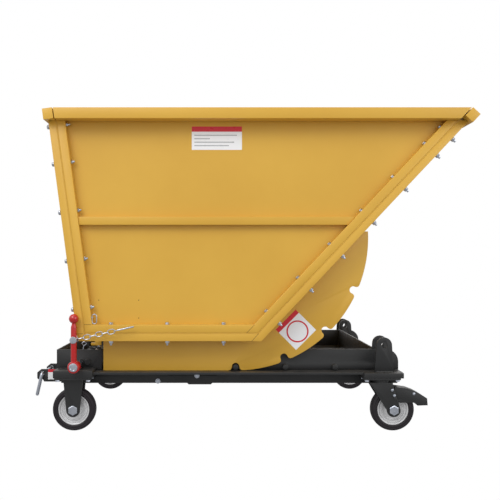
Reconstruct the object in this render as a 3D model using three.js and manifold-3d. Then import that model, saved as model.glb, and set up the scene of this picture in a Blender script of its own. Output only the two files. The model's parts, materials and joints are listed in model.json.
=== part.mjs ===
// Self-dumping tilt hopper on casters.
// Millimetres, +Z up. +X is the dumping end, -Y the right-hand side with the release lever.
// Inside this file X is counted from the hopper's rolling axis and Z from the floor;
// the group is shifted along X at the end, so that the origin is below the middle of the object.
import * as THREE from 'three';
import { mergeVertices } from 'three/addons/utils/BufferGeometryUtils.js';
import Module from 'manifold-3d';

const wasm = await Module();
wasm.setup();

// ---------------------------------------------------------------- driving dimensions
const GAP = 0.3; // between pieces that touch or are welded to each other
const OVERCUT = 1; // a cutting solid's reach past the face that it cuts
const BITE = 1; // overlap where two solids join into one
const DEG = Math.PI / 180;

// hopper body, measured on the inside of its sheets
const FLOOR_RISE = 140; // floor above the track
const TUB_DEPTH = 767;
const FLOOR_REAR_X = -519.5;
const FLOOR_LENGTH = 594;
const INSIDE_WIDTH = 878;
const REAR_LEAN = 7.56 * DEG; // rear sheet from the vertical
const FRONT_SLOPE = 43.288 * DEG; // front sheet from the vertical
const SHEET = 3;
const FRAME_TUBE = 28; // square tubes round each side
const FRAME_WALL = 2.5;
const RIB_RISE = 371; // underside of the middle rib above the floor
const RIB_HEIGHT = 28;
const RIB_DEPTH = 22;
const RIM_HEIGHT = 37;
const RIM_DEPTH = 34; // rear and front rims
const RIM_WIDTH = 62.5; // side rims
const RIM_WALL = 3;
const VENT_RADIUS = 5; // vent hole under each end of the rear and front rims
const VENT_FROM_END = 30;

// rockers and the pins that they roll on
const ROCKER_RADIUS = 468.5;
const ROCKER_SET_IN = 52; // rocker's rear end forward of the floor's
const ROCKER_PLATE = 10;
const ROCKER_INSET = 54; // side sheet's inside to the rocker's inner face
const ROCKER_END_ANGLE = 92.8 * DEG; // from straight down
const PIN_COUNT = 4;
const PIN_PITCH = 175.7;
const PIN_HEIGHT = 12; // pin centre above the track
const PIN_RADIUS = 10;
const NOTCH_RADIUS = 13;
const NOTCH_MOUTH = 52;
const PIN_REACH = 7; // pin's end past the rocker
const PIN_ROOT = 2; // pin's root inside the web
const NOTCH_SINK = 2; // notch centre below the pin circle

// base; the first values are steps from what each piece lines up with
const BASE_REAR_STEP = 105; // track's rear end behind the hopper's floor
const RACK_END = 53.4; // track's front end past the last pin
const FORK_TUBE_STEP = 25; // rocker's inner face to the fork tube
const WEB_STEP = 21;
const LUG_INNER_STEP = 33;
const LUG_OUTER_STEP = 35;
const TRACK_STEP = 55;
const MOUNT_INNER_STEP = 13;
const MOUNT_OUTER_STEP = 75;
const BOX_STEP = 16;
const WHEEL_STEP = 30;
const FORK_TUBE_WIDTH = 145;
const FORK_TUBE_HEIGHT = 50;
const FORK_TUBE_WALL = 4;
const TRACK_PLATE = 8;
const WEB_PLATE = 8;
const WEB_HEIGHT = 73;
const WEB_REAR_X = -69.5;
const WEB_CORNER = 45;
const LUG_SET_BACK = 62.5; // hole behind the track's front end
const LUG_HOLE_HEIGHT = 93;
const LUG_HOLE_RADIUS = 10.5;
const LUG_TOP_RADIUS = 27;
const LUG_BASE = 66;
const LUG_PLATE = 8;
const CROSS_PLATE_BEHIND = 30; // behind the lug's hole
const CROSS_PLATE_HEIGHT = 78;
const CROSS_PLATE = 6;
const MOUNT_LENGTH = 136; // caster mounting blocks
const MOUNT_HEIGHT = 18; // up to the track's top
const MOUNT_WALL = 6;
const REAR_MOUNT_RAISE = 8; // rear mount above the track's top
const REAR_MOUNT_PAST = 7; // rear mount past the track's rear end
const FRONT_MOUNT_SHORT = 2; // front mount short of the track's front end
const BOX_PAST = 14; // latch box past the track's rear end
const BOX_LENGTH = 161;
const BOX_HEIGHT = 71;
const BOX_WALL = 4;

// hooked rear ends of the fork tubes, and the keeper that hangs in them
const HOOK_LENGTH = 86;
const HOOK_PLATE = 4;
const HOOK_LAP = 20; // hooked plate's length inside the tube
const HOOK_OUTLINE = [ // from the tip at the level of the track's top
  [15, 0], [0, -12], [0, -33], [7, -39], [16, -30], [25, -45],
];
const KEEPER_SET_BACK = 67; // behind the track's rear end
const KEEPER_BELOW = 15; // below the track's top
const KEEPER_SIDE_GAP = 1;
const KEEPER_TAIL = 8; // rod's end past the inner plate
const KEEPER_ROD = 6; // radius
const KEEPER_HOLE = 6.8;
const KEEPER_DROP = 73;
const KEEPER_LEAN = 12.76 * DEG;

// release lever, its shaft and the latch
const SHAFT_FORWARD = 71; // forward of the track's rear end
const SHAFT_HEIGHT = 25; // above the track's top
const SHAFT_RADIUS = 9;
const SHAFT_FIT = 0.3; // radial clearance round the shaft
const SHAFT_END_Y = 48;
const LEVER_CLEARANCE = 7.2; // between the side frame and the lever
const LEVER_HUB_CLEARANCE = 4; // between the caster mount and the hub
const LEVER_LENGTH = 165; // shaft to the middle of the knob
const LEVER_ROD = 10; // radius
const LEVER_HUB_RADIUS = 20.5;
const KNOB_RADIUS = 16.5;
const CAP_RADIUS = 14.5;
const CAP_THICK = 5;
const CHAIN_BOLT_HEIGHT = 93; // above the shaft
const CHAIN_BOLT_RADIUS = 12;
const CHAIN_BOLT_ROOT = 3; // bolt head's seat inside the arm
const BOSS_CLEARANCE = 4.3; // boss above the rear mount
const BOSS_LENGTH = 10;
const HOOK_THICK = 12;
const HOOK_RING = 15;
const FINGER_ROOT_X = 7; // where the finger leaves the ring
const FINGER_ROOT_Z = 9.5;
const CATCH_FORWARD = 15; // catch's front face forward of the shaft
const CATCH_RISE = 19; // catch's underside above the shaft
const CATCH_WIDTH = 27;
const CATCH_TOOTH = 16;
const CATCH_TOOTH_HEIGHT = 11;
const CATCH_THICK = 12;
const LATCH_CLEARANCE = 1.2;
const NOSE_OUTLINE = [ // of the hook's finger, from the point that faces the catch
  [-18, -12], [-18, 12], [-8, 14], [0, 4], [-7, -2], [-6, -16],
];
const SPRING_WIRE = 1.6; // radius
const SPRING_RADIUS = 12.6;
const SPRING_TURNS = 5;
const SPRING_PITCH = 4.4;
const SPRING_GAP = 2; // from the latch hook

// safety chain, laid along the side from the lever's bolt
const CHAIN_LENGTH = 148;
const CHAIN_RISE = 12.5 * DEG;
const CHAIN_HALF = 8.5; // half the width of a link
const CHAIN_PIN_LENGTH = 62;
const CHAIN_PIN_RADIUS = 3;

// casters
const WHEEL_RADIUS = 75;
const REAR_WHEEL_FORWARD = 60; // axle forward of the track's rear end
const SWIVEL_BACK = 75; // swivel axis behind the track's front end
const SWIVEL_TRAIL = 41;
const PLATE_HEADROOM = 31; // tyre to the underside of the caster plate
const TYRE_WIDTH = 45;
const RIM_RADIUS = 54;
const RIM_LIP = 6;
const RIM_WEB = 5; // half the thickness of the wheel's web
const HUB_RADIUS = 20;
const RIM_RING_STEP = 4.5; // rim's ring inside the tyre's face
const WHEEL_SIDES = 30;
const AXLE_RADIUS = 6;
const AXLE_FIT = 0.3;
const AXLE_HEX = 30; // across flats
const AXLE_HEAD = 7;
const FORK_SIDE_GAP = 4.5; // tyre to the leg
const HUB_GAP = 2; // hub to the leg
const FORK_PLATE = 5;
const FORK_FOOT_RADIUS = 24;
const CASTER_PLATE = 5.7;
const CASTER_PLATE_LENGTH = 126;
const CASTER_PLATE_WIDTH = 86;
const FORK_TOP_HALF = 38;
const REAR_LEG_SET_IN = 4;
const RACE_RADIUS = 33;
const RACE_HEIGHT = 5.5;
const KINGPIN_RADIUS = 6;
const KINGPIN_NUT_RADIUS = 9;
const KINGPIN_NUT_HEIGHT = 5;
const RACE_STEP = 3; // fork's race inside the plate's
const PIVOT_PAST = 2; // pedal pivot's head past the leg
const YOKE_PLATE = 5;
const PEDAL_PLATE = 2.8;
const PEDAL_GAP = 0.9; // between the pedal's cheek and the tyre
const PEDAL_PIVOT_X = 47; // forward of the swivel axis
const PEDAL_PIVOT_Z = 39; // above the axle
const PIVOT_RADIUS = 4;
const PEDAL_TREAD = [ // clearance round the tyre and angle forward of the axle's vertical
  [5.2, 4.3], [14.3, 34.0], [24.2, 49.1], [34.3, 60.4], [48.7, 71.1],
];
const PEDAL_CHEEK = [ // the cheek's lower outline, the same way
  [45.1, 82.3], [10.3, 79.9], [0.3, 70.6], [-43, 38.7], [-42.9, 3.6],
];

// round button on the hopper's rolling axis
const BUTTON_RADIUS = 9;
const BUTTON_THICK = 4;

// ---------------------------------------------------------------- worked-out values
const CASTER_PLATE_Z = 2 * WHEEL_RADIUS + PLATE_HEADROOM; // underside
const MOUNT_BOTTOM_Z = CASTER_PLATE_Z + CASTER_PLATE + GAP;
const TRACK_TOP = MOUNT_BOTTOM_Z + MOUNT_HEIGHT;
const REAR_MOUNT_TOP_Z = TRACK_TOP + REAR_MOUNT_RAISE;
const FLOOR_Z = TRACK_TOP + FLOOR_RISE;
const TOP_Z = FLOOR_Z + TUB_DEPTH;
const RIB_Z = FLOOR_Z + RIB_RISE;
const AXIS_Z = TRACK_TOP + GAP + ROCKER_RADIUS;
const SHEET_OUTER_Y = INSIDE_WIDTH / 2 + SHEET;
const FRAME_INNER_Y = SHEET_OUTER_Y + GAP;
const FRAME_OUTER_Y = FRAME_INNER_Y + FRAME_TUBE;
const ROCKER_Y = INSIDE_WIDTH / 2 - ROCKER_INSET; // inner face
const ROCKER_REAR_X = FLOOR_REAR_X + ROCKER_SET_IN;
const BASE_REAR_X = FLOOR_REAR_X - BASE_REAR_STEP;
const BASE_FRONT_X = (PIN_COUNT - 1) * PIN_PITCH + RACK_END;
const FORK_TUBE_OUTER_Y = ROCKER_Y - FORK_TUBE_STEP;
const WEB_INNER_Y = ROCKER_Y - WEB_STEP;
const LUG_INNER_Y = ROCKER_Y - LUG_INNER_STEP; // inner face of the inner lug
const LUG_OUTER_Y = ROCKER_Y + LUG_OUTER_STEP; // inner face of the outer lug
const TRACK_OUTER_Y = ROCKER_Y + TRACK_STEP;
const MOUNT_INNER_Y = ROCKER_Y - MOUNT_INNER_STEP;
const MOUNT_OUTER_Y = ROCKER_Y + MOUNT_OUTER_STEP;
const BOX_HALF_WIDTH = ROCKER_Y - BOX_STEP;
const WHEEL_HALF_TRACK = ROCKER_Y + WHEEL_STEP;
const LUG_X = BASE_FRONT_X - LUG_SET_BACK; // hole centre
const CROSS_PLATE_X = LUG_X - CROSS_PLATE_BEHIND;
const REAR_MOUNT_X = BASE_REAR_X - REAR_MOUNT_PAST;
const FRONT_MOUNT_X = BASE_FRONT_X - FRONT_MOUNT_SHORT - MOUNT_LENGTH;
const BOX_REAR_X = BASE_REAR_X - BOX_PAST;
const KEEPER_X = BASE_REAR_X - KEEPER_SET_BACK;
const KEEPER_Z = TRACK_TOP - KEEPER_BELOW;
const SHAFT_X = BASE_REAR_X + SHAFT_FORWARD;
const SHAFT_Z = TRACK_TOP + SHAFT_HEIGHT;
const BOSS_RADIUS = SHAFT_Z - REAR_MOUNT_TOP_Z - BOSS_CLEARANCE;
const LEVER_Y = FRAME_OUTER_Y + LEVER_CLEARANCE + LEVER_ROD; // middle plane of the lever
const LEVER_HUB_INNER_Y = MOUNT_OUTER_Y + LEVER_HUB_CLEARANCE;
const CATCH_FRONT_X = SHAFT_X + CATCH_FORWARD;
const CATCH_BOTTOM_Z = SHAFT_Z + CATCH_RISE;
const REAR_WHEEL_X = BASE_REAR_X + REAR_WHEEL_FORWARD;
const SWIVEL_X = BASE_FRONT_X - SWIVEL_BACK;
const FORK_INNER = TYRE_WIDTH / 2 + FORK_SIDE_GAP; // half the gap between the legs
const HUB_HALF = FORK_INNER - HUB_GAP;
const RIM_RING_HALF = TYRE_WIDTH / 2 - RIM_RING_STEP;
const PIN_Z = TRACK_TOP + PIN_HEIGHT;
const PIN_CIRCLE = AXIS_Z - PIN_Z;
const RIM_OUTER_Y = FRAME_INNER_Y + RIM_WIDTH;
const RIM_BOTTOM_Z = TOP_Z - RIM_HEIGHT;
const CAP_START_Y = LEVER_Y + LEVER_ROD + GAP;

// ---------------------------------------------------------------- finishes
const FINISHES = {
  yellow: { color: 0xdcab45, roughness: 0.45, metalness: 0.1 },
  black: { color: 0x303132, roughness: 0.5, metalness: 0.2 },
  red: { color: 0xc4181c, roughness: 0.3, metalness: 0.1 },
  zinc: { color: 0xc9ccd0, roughness: 0.3, metalness: 0.9 },
  grey: { color: 0xc6c7c6, roughness: 0.5, metalness: 0.2 },
  rubber: { color: 0x231c22, roughness: 0.75, metalness: 0.0 },
};

const SIDES = [['right', -1], ['left', 1]]; // name, and the sign of Y
const group = new THREE.Group();

function piece(name, geometry, finish) {
  const mesh = new THREE.Mesh(geometry, new THREE.MeshStandardMaterial(FINISHES[finish]));
  mesh.name = name;
  group.add(mesh);
  return mesh;
}

// ---------------------------------------------------------------- solids
function toSolid(geometry) {
  const bare = geometry.clone();
  bare.deleteAttribute('normal');
  bare.deleteAttribute('uv');
  const merged = mergeVertices(bare, 1e-4);
  return new wasm.Manifold(new wasm.Mesh({
    numProp: 3,
    vertProperties: new Float32Array(merged.attributes.position.array),
    triVerts: new Uint32Array(merged.index.array),
  }));
}

function toGeometry(solid) {
  const mesh = solid.getMesh();
  const geometry = new THREE.BufferGeometry();
  geometry.setAttribute('position', new THREE.BufferAttribute(mesh.vertProperties, 3));
  geometry.setIndex(new THREE.BufferAttribute(mesh.triVerts, 1));
  geometry.computeVertexNormals();
  return geometry;
}

function cut(geometry, ...tools) {
  return toGeometry(tools.reduce((left, tool) => left.subtract(toSolid(tool)), toSolid(geometry)));
}

function join(geometry, ...others) {
  return toGeometry(others.reduce((left, other) => left.add(toSolid(other)), toSolid(geometry)));
}

function block(x0, x1, y0, y1, z0, z1) {
  const geometry = new THREE.BoxGeometry(Math.abs(x1 - x0), Math.abs(y1 - y0), Math.abs(z1 - z0));
  return geometry.translate((x0 + x1) / 2, (y0 + y1) / 2, (z0 + z1) / 2);
}

function shapeOf(points) {
  return new THREE.Shape(points.map(([x, z]) => new THREE.Vector2(x, z)));
}

// a plate that lies in the X-Z plane between two Y values, from points or from a shape
function plate(outline, yA, yB, curveSegments = 24) {
  const shape = outline instanceof THREE.Shape ? outline : shapeOf(outline);
  const depth = Math.abs(yB - yA);
  const geometry = new THREE.ExtrudeGeometry(shape, { depth, bevelEnabled: false, curveSegments });
  return geometry.rotateX(Math.PI / 2).translate(0, Math.max(yA, yB), 0);
}

function rodY(x, z, radius, yA, yB, sides = 24) {
  const geometry = new THREE.CylinderGeometry(radius, radius, Math.abs(yB - yA), sides);
  return geometry.translate(x, (yA + yB) / 2, z);
}

function rodZ(x, y, radius, z0, z1, sides = 24) {
  const geometry = new THREE.CylinderGeometry(radius, radius, z1 - z0, sides).rotateX(Math.PI / 2);
  return geometry.translate(x, y, (z0 + z1) / 2);
}

// a round rod between two points
function bar(from, to, radius, sides = 8) {
  const a = new THREE.Vector3(...from);
  const b = new THREE.Vector3(...to);
  const geometry = new THREE.CylinderGeometry(radius, radius, a.distanceTo(b), sides);
  const turn = new THREE.Quaternion().setFromUnitVectors(
    new THREE.Vector3(0, 1, 0), b.clone().sub(a).normalize());
  const middle = a.clone().add(b).multiplyScalar(0.5);
  return geometry.applyQuaternion(turn).translate(middle.x, middle.y, middle.z);
}

function ball(centre, radius, detail = 20) {
  return new THREE.SphereGeometry(radius, detail, detail / 2).translate(...centre);
}

// a turned solid about the Y axis through (x, z), from [radius, y] points
function turned(profile, x, y, z, segments = WHEEL_SIDES) {
  const points = profile.map(([radius, height]) => new THREE.Vector2(radius, height));
  return new THREE.LatheGeometry([...points, points[0]], segments).translate(x, y, z);
}

// a wheel's profile from its outer half: the inner half first, with its sideways values negated
function mirrored(half) {
  return [...half.map(([radius, y]) => [radius, -y]), ...half.toReversed()];
}

// ---------------------------------------------------------------- hopper outline
// X of the rear and front sheets' inner faces at a height, moved outwards by an offset
function rearX(z, offset = 0) {
  return FLOOR_REAR_X - Math.tan(REAR_LEAN) * (z - FLOOR_Z) - offset / Math.cos(REAR_LEAN);
}

function frontX(z, offset = 0) {
  return FLOOR_REAR_X + FLOOR_LENGTH + Math.tan(FRONT_SLOPE) * (z - FLOOR_Z)
    + offset / Math.cos(FRONT_SLOPE);
}

// the outline at an offset, as rear top, rear bottom, front bottom, front top
function tubLine(offset, top = TOP_Z) {
  const bottom = FLOOR_Z - offset;
  return [
    [rearX(top, offset), top],
    [rearX(bottom, offset), bottom],
    [frontX(bottom, offset), bottom],
    [frontX(top, offset), top],
  ];
}

// the band between two offsets, open at the top
function tubBand(inner, outer, top) {
  return [...tubLine(outer, top), ...tubLine(inner, top).reverse()];
}

// a square tube bent round the side: a band with a hollow that is open at both top ends
function bentTube(inner, outer, top, yA, yB) {
  const body = plate(tubBand(inner, outer, top), yA, yB);
  const towards = Math.sign(yB - yA) * FRAME_WALL;
  const core = plate(
    tubBand(inner + FRAME_WALL, outer - FRAME_WALL, top + OVERCUT), yA + towards, yB - towards);
  return cut(body, core);
}

function buildSheets() {
  const half = FRAME_OUTER_Y;
  const [rearTop, rearLow, frontLow, frontTop] = tubLine(0);
  const [rearTopOut, rearLowOut, frontLowOut, frontTopOut] = tubLine(SHEET);
  piece('rear_sheet', plate([rearTop, rearLow, rearLowOut, rearTopOut], -half, half), 'yellow');
  piece('front_sheet', plate([frontTop, frontTopOut, frontLowOut, frontLow], -half, half), 'yellow');
  const floor = [
    [rearLow[0] + GAP, rearLow[1]],
    [rearLowOut[0] + GAP, rearLowOut[1]],
    [frontLowOut[0] - GAP, frontLowOut[1]],
    [frontLow[0] - GAP, frontLow[1]],
  ];
  piece('floor_sheet', plate(floor, -half, half), 'yellow');
}

function buildSide(side, s) {
  const sheet = tubLine(-GAP);
  piece(`${side}_side_sheet`, plate(sheet, s * INSIDE_WIDTH / 2, s * SHEET_OUTER_Y), 'yellow');
  const top = RIM_BOTTOM_Z - GAP;
  piece(`${side}_side_frame`,
    bentTube(-FRAME_TUBE, -GAP, top, s * FRAME_INNER_Y, s * FRAME_OUTER_Y), 'yellow');
  const wrap = bentTube(SHEET + GAP, FRAME_TUBE, top, s * FRAME_INNER_Y, s * FRAME_OUTER_Y);
  const rims = leaningRims().map((rim) => rimSection(rim, GAP, RIM_OUTER_Y));
  piece(`${side}_wrap_frame`, cut(wrap, ...rims), 'yellow');
  const ribTop = RIB_Z + RIB_HEIGHT;
  const end = -FRAME_TUBE - GAP;
  const rib = plate([
    [rearX(ribTop, end), ribTop],
    [rearX(RIB_Z, end), RIB_Z],
    [frontX(RIB_Z, end), RIB_Z],
    [frontX(ribTop, end), ribTop],
  ], s * FRAME_INNER_Y, s * (FRAME_INNER_Y + RIB_DEPTH));
  const core = block(rearX(ribTop), frontX(ribTop),
    s * (FRAME_INNER_Y - OVERCUT), s * (FRAME_INNER_Y + RIB_DEPTH - FRAME_WALL),
    RIB_Z + FRAME_WALL, ribTop - FRAME_WALL);
  piece(`${side}_middle_rib`, cut(rib, core), 'yellow');
}

// the rear and front rims: name, upper corner on the sheet, and the directions down and out from it
function leaningRims() {
  const away = SHEET + GAP;
  return [
    ['rear_rim', [rearX(TOP_Z, away), TOP_Z],
      [Math.sin(REAR_LEAN), -Math.cos(REAR_LEAN)], [-Math.cos(REAR_LEAN), -Math.sin(REAR_LEAN)]],
    ['front_rim', [frontX(TOP_Z, away), TOP_Z],
      [-Math.sin(FRONT_SLOPE), -Math.cos(FRONT_SLOPE)], [Math.cos(FRONT_SLOPE), -Math.sin(FRONT_SLOPE)]],
  ];
}

function rimPoint([, corner, down, out], a, b) {
  return [corner[0] + down[0] * a + out[0] * b, corner[1] + down[1] * a + out[1] * b];
}

// a rim's section, grown by an amount on every side
function rimSection(rim, grow, halfWidth) {
  const corners = [[-grow, -grow], [-grow, RIM_DEPTH + grow], [RIM_HEIGHT + grow, RIM_DEPTH + grow],
    [RIM_HEIGHT + grow, -grow]];
  return plate(corners.map(([a, b]) => rimPoint(rim, a, b)), -halfWidth, halfWidth);
}

function buildRims() {
  for (const rim of leaningRims()) {
    // a closed box section with a vent hole under each end
    const core = rimSection(rim, -RIM_WALL, RIM_OUTER_Y - RIM_WALL);
    const [ventX, ventZ] = rimPoint(rim, RIM_HEIGHT - RIM_WALL - OVERCUT, RIM_DEPTH / 2);
    const [outX, outZ] = rimPoint(rim, RIM_HEIGHT + OVERCUT, RIM_DEPTH / 2);
    const vents = SIDES.map(([, s]) => {
      const y = s * (RIM_OUTER_Y - VENT_FROM_END);
      return bar([ventX, y, ventZ], [outX, y, outZ], VENT_RADIUS, 12);
    });
    piece(rim[0], cut(rimSection(rim, 0, RIM_OUTER_Y), core, ...vents), 'yellow');
  }
  for (const [side, s] of SIDES) {
    const ends = [
      [rearX(TOP_Z, -GAP), TOP_Z],
      [rearX(RIM_BOTTOM_Z, -GAP), RIM_BOTTOM_Z],
      [frontX(RIM_BOTTOM_Z, -GAP), RIM_BOTTOM_Z],
      [frontX(TOP_Z, -GAP), TOP_Z],
    ];
    const body = plate(ends, s * FRAME_INNER_Y, s * RIM_OUTER_Y);
    const core = block(rearX(TOP_Z) - RIM_DEPTH, frontX(TOP_Z) + RIM_DEPTH,
      s * (FRAME_INNER_Y + RIM_WALL), s * (RIM_OUTER_Y - RIM_WALL),
      RIM_BOTTOM_Z + RIM_WALL, TOP_Z - RIM_WALL);
    piece(`${side}_rim`, cut(body, core), 'yellow');
  }
}

// ---------------------------------------------------------------- rockers
// a notch that fits one pin and rounds out to the rim at its mouth; angle counts from straight down
function notchTool(angle, yA, yB) {
  const centre = -(PIN_CIRCLE - NOTCH_SINK);
  const edge = NOTCH_MOUTH / 2;
  const rim = -Math.sqrt(ROCKER_RADIUS ** 2 - edge ** 2);
  const outside = -ROCKER_RADIUS - OVERCUT;
  const shape = new THREE.Shape();
  shape.moveTo(NOTCH_RADIUS, centre);
  shape.absarc(0, centre, NOTCH_RADIUS, 0, Math.PI, false);
  shape.quadraticCurveTo(-NOTCH_RADIUS, rim, -edge, rim);
  shape.lineTo(-edge, outside);
  shape.lineTo(edge, outside);
  shape.lineTo(edge, rim);
  shape.quadraticCurveTo(NOTCH_RADIUS, rim, NOTCH_RADIUS, centre);
  return plate(shape, yA, yB, 8).rotateY(-angle).translate(0, 0, AXIS_Z);
}

function buildRocker(side, s) {
  const low = TRACK_TOP + GAP;
  const away = SHEET + GAP;
  const shape = new THREE.Shape();
  shape.moveTo(ROCKER_REAR_X, low);
  shape.lineTo(0, low);
  shape.absarc(0, AXIS_Z, ROCKER_RADIUS, -Math.PI / 2, -Math.PI / 2 + ROCKER_END_ANGLE, false);
  const endZ = AXIS_Z - ROCKER_RADIUS * Math.cos(ROCKER_END_ANGLE);
  shape.lineTo(frontX(endZ, away), endZ);
  shape.lineTo(frontX(FLOOR_Z - away, away), FLOOR_Z - away);
  shape.lineTo(ROCKER_REAR_X, FLOOR_Z - away);
  const yA = s * ROCKER_Y;
  const yB = s * (ROCKER_Y + ROCKER_PLATE);
  const notches = [];
  for (let k = 0; k < PIN_COUNT; k += 1) {
    notches.push(notchTool(k * PIN_PITCH / PIN_CIRCLE, yA - s, yB + s));
  }
  piece(`${side}_rocker`, cut(plate(shape, yA, yB, 48), ...notches), 'yellow');
}

// ---------------------------------------------------------------- base
function buildForkTube(side, s) {
  const inner = FORK_TUBE_OUTER_Y - FORK_TUBE_WIDTH;
  const bottom = TRACK_TOP - FORK_TUBE_HEIGHT;
  const body = block(BASE_REAR_X, BASE_FRONT_X, s * inner, s * FORK_TUBE_OUTER_Y, bottom, TRACK_TOP);
  const core = block(BASE_REAR_X - OVERCUT, BASE_FRONT_X + OVERCUT,
    s * (inner + FORK_TUBE_WALL), s * (FORK_TUBE_OUTER_Y - FORK_TUBE_WALL),
    bottom + FORK_TUBE_WALL, TRACK_TOP - FORK_TUBE_WALL);
  const tip = BASE_REAR_X - HOOK_LENGTH;
  const lap = BASE_REAR_X + HOOK_LAP;
  const nose = HOOK_OUTLINE.map(([x, z]) => [tip + x, TRACK_TOP + z]);
  const outline = [[lap, TRACK_TOP], ...nose, [lap, nose.at(-1)[1]]];
  const hole = rodY(KEEPER_X, KEEPER_Z, KEEPER_HOLE, -TRACK_OUTER_Y, TRACK_OUTER_Y);
  const plates = [inner, FORK_TUBE_OUTER_Y - HOOK_PLATE].map(
    (y) => plate(outline, s * y, s * (y + HOOK_PLATE)));
  piece(`${side}_fork_tube`, cut(join(cut(body, core), ...plates), hole), 'black');
}

// the plate that the rocker rolls along, with the two caster mounting blocks welded under it
function buildTrack(side, s) {
  const inner = s * (FORK_TUBE_OUTER_Y + GAP);
  const top = block(BASE_REAR_X, BASE_FRONT_X, inner, s * TRACK_OUTER_Y,
    TRACK_TOP - TRACK_PLATE, TRACK_TOP);
  const mount = (x, topZ) => {
    const y0 = s * MOUNT_INNER_Y;
    const y1 = s * MOUNT_OUTER_Y;
    const body = block(x, x + MOUNT_LENGTH, y0, y1, MOUNT_BOTTOM_Z, topZ);
    const core = block(x + MOUNT_WALL, x + MOUNT_LENGTH - MOUNT_WALL, s * (MOUNT_INNER_Y - OVERCUT),
      s * (MOUNT_OUTER_Y - MOUNT_WALL), MOUNT_BOTTOM_Z + MOUNT_WALL, topZ - MOUNT_WALL);
    return cut(body, core);
  };
  piece(`${side}_track`, join(top, mount(REAR_MOUNT_X, REAR_MOUNT_TOP_Z),
    mount(FRONT_MOUNT_X, TRACK_TOP)), 'black');
}

// the upright web that carries the pins of the rack
function buildPinRack(side, s) {
  const low = TRACK_TOP + GAP;
  const top = TRACK_TOP + WEB_HEIGHT;
  const shape = new THREE.Shape();
  shape.moveTo(WEB_REAR_X, low);
  shape.lineTo(BASE_FRONT_X, low);
  shape.lineTo(BASE_FRONT_X, top - WEB_CORNER);
  shape.absarc(BASE_FRONT_X - WEB_CORNER, top - WEB_CORNER, WEB_CORNER, 0, Math.PI / 2, false);
  shape.lineTo(WEB_REAR_X, top);
  const web = plate(shape, s * WEB_INNER_Y, s * (WEB_INNER_Y + WEB_PLATE), 10);
  const pins = [];
  for (let k = 0; k < PIN_COUNT; k += 1) {
    pins.push(rodY(k * PIN_PITCH, PIN_Z, PIN_RADIUS, s * (WEB_INNER_Y + WEB_PLATE - PIN_ROOT),
      s * (ROCKER_Y + ROCKER_PLATE + PIN_REACH), 16));
  }
  piece(`${side}_pin_rack`, join(web, ...pins), 'black');
}

function buildLugs(side, s) {
  const low = TRACK_TOP + GAP;
  const holeZ = TRACK_TOP + LUG_HOLE_HEIGHT;
  const shape = new THREE.Shape();
  shape.moveTo(LUG_X - LUG_BASE / 2, low);
  shape.lineTo(LUG_X + LUG_BASE / 2, low);
  shape.lineTo(LUG_X + LUG_TOP_RADIUS, holeZ);
  shape.absarc(LUG_X, holeZ, LUG_TOP_RADIUS, 0, Math.PI, false);
  const hole = new THREE.Path();
  hole.absarc(LUG_X, holeZ, LUG_HOLE_RADIUS, 0, 2 * Math.PI, true);
  shape.holes.push(hole);
  for (const [place, y] of [['outer', LUG_OUTER_Y], ['inner', LUG_INNER_Y]]) {
    piece(`${side}_${place}_lug`, plate(shape, s * y, s * (y + LUG_PLATE), 8), 'black');
  }
}

function buildCrossPlate() {
  const half = LUG_INNER_Y - GAP;
  piece('front_cross_plate', block(CROSS_PLATE_X, CROSS_PLATE_X + CROSS_PLATE, -half, half,
    TRACK_TOP + GAP, TRACK_TOP + CROSS_PLATE_HEIGHT), 'black');
}

function buildLatchBox() {
  const low = TRACK_TOP + GAP;
  const front = BOX_REAR_X + BOX_LENGTH;
  const half = BOX_HALF_WIDTH;
  const body = block(BOX_REAR_X, front, -half, half, low, low + BOX_HEIGHT);
  const core = block(BOX_REAR_X + BOX_WALL, front - BOX_WALL, -half + BOX_WALL, half - BOX_WALL,
    low + BOX_WALL, low + BOX_HEIGHT + OVERCUT);
  const boss = rodY(SHAFT_X, SHAFT_Z, BOSS_RADIUS, -half + BITE, -half - BOSS_LENGTH);
  const bore = rodY(SHAFT_X, SHAFT_Z, SHAFT_RADIUS + SHAFT_FIT,
    -half + BOX_WALL + OVERCUT, -half - BOSS_LENGTH - OVERCUT);
  piece('latch_box', cut(join(cut(body, core), boss), bore), 'black');
}

// the keeper: a rod through both hooked plates, bent down outside them into a handle
function buildKeeper(side, s) {
  const outer = s * (FORK_TUBE_OUTER_Y + KEEPER_ROD + KEEPER_SIDE_GAP);
  const inner = s * (FORK_TUBE_OUTER_Y - FORK_TUBE_WIDTH - KEEPER_TAIL);
  const bend = [KEEPER_X, outer, KEEPER_Z];
  const foot = [KEEPER_X - KEEPER_DROP * Math.tan(KEEPER_LEAN), outer, KEEPER_Z - KEEPER_DROP];
  piece(`${side}_keeper`, join(bar([KEEPER_X, inner, KEEPER_Z], bend, KEEPER_ROD, 12),
    ball(bend, KEEPER_ROD, 12), bar(bend, foot, KEEPER_ROD, 12), ball(foot, KEEPER_ROD, 12)), 'zinc');
}

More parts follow.
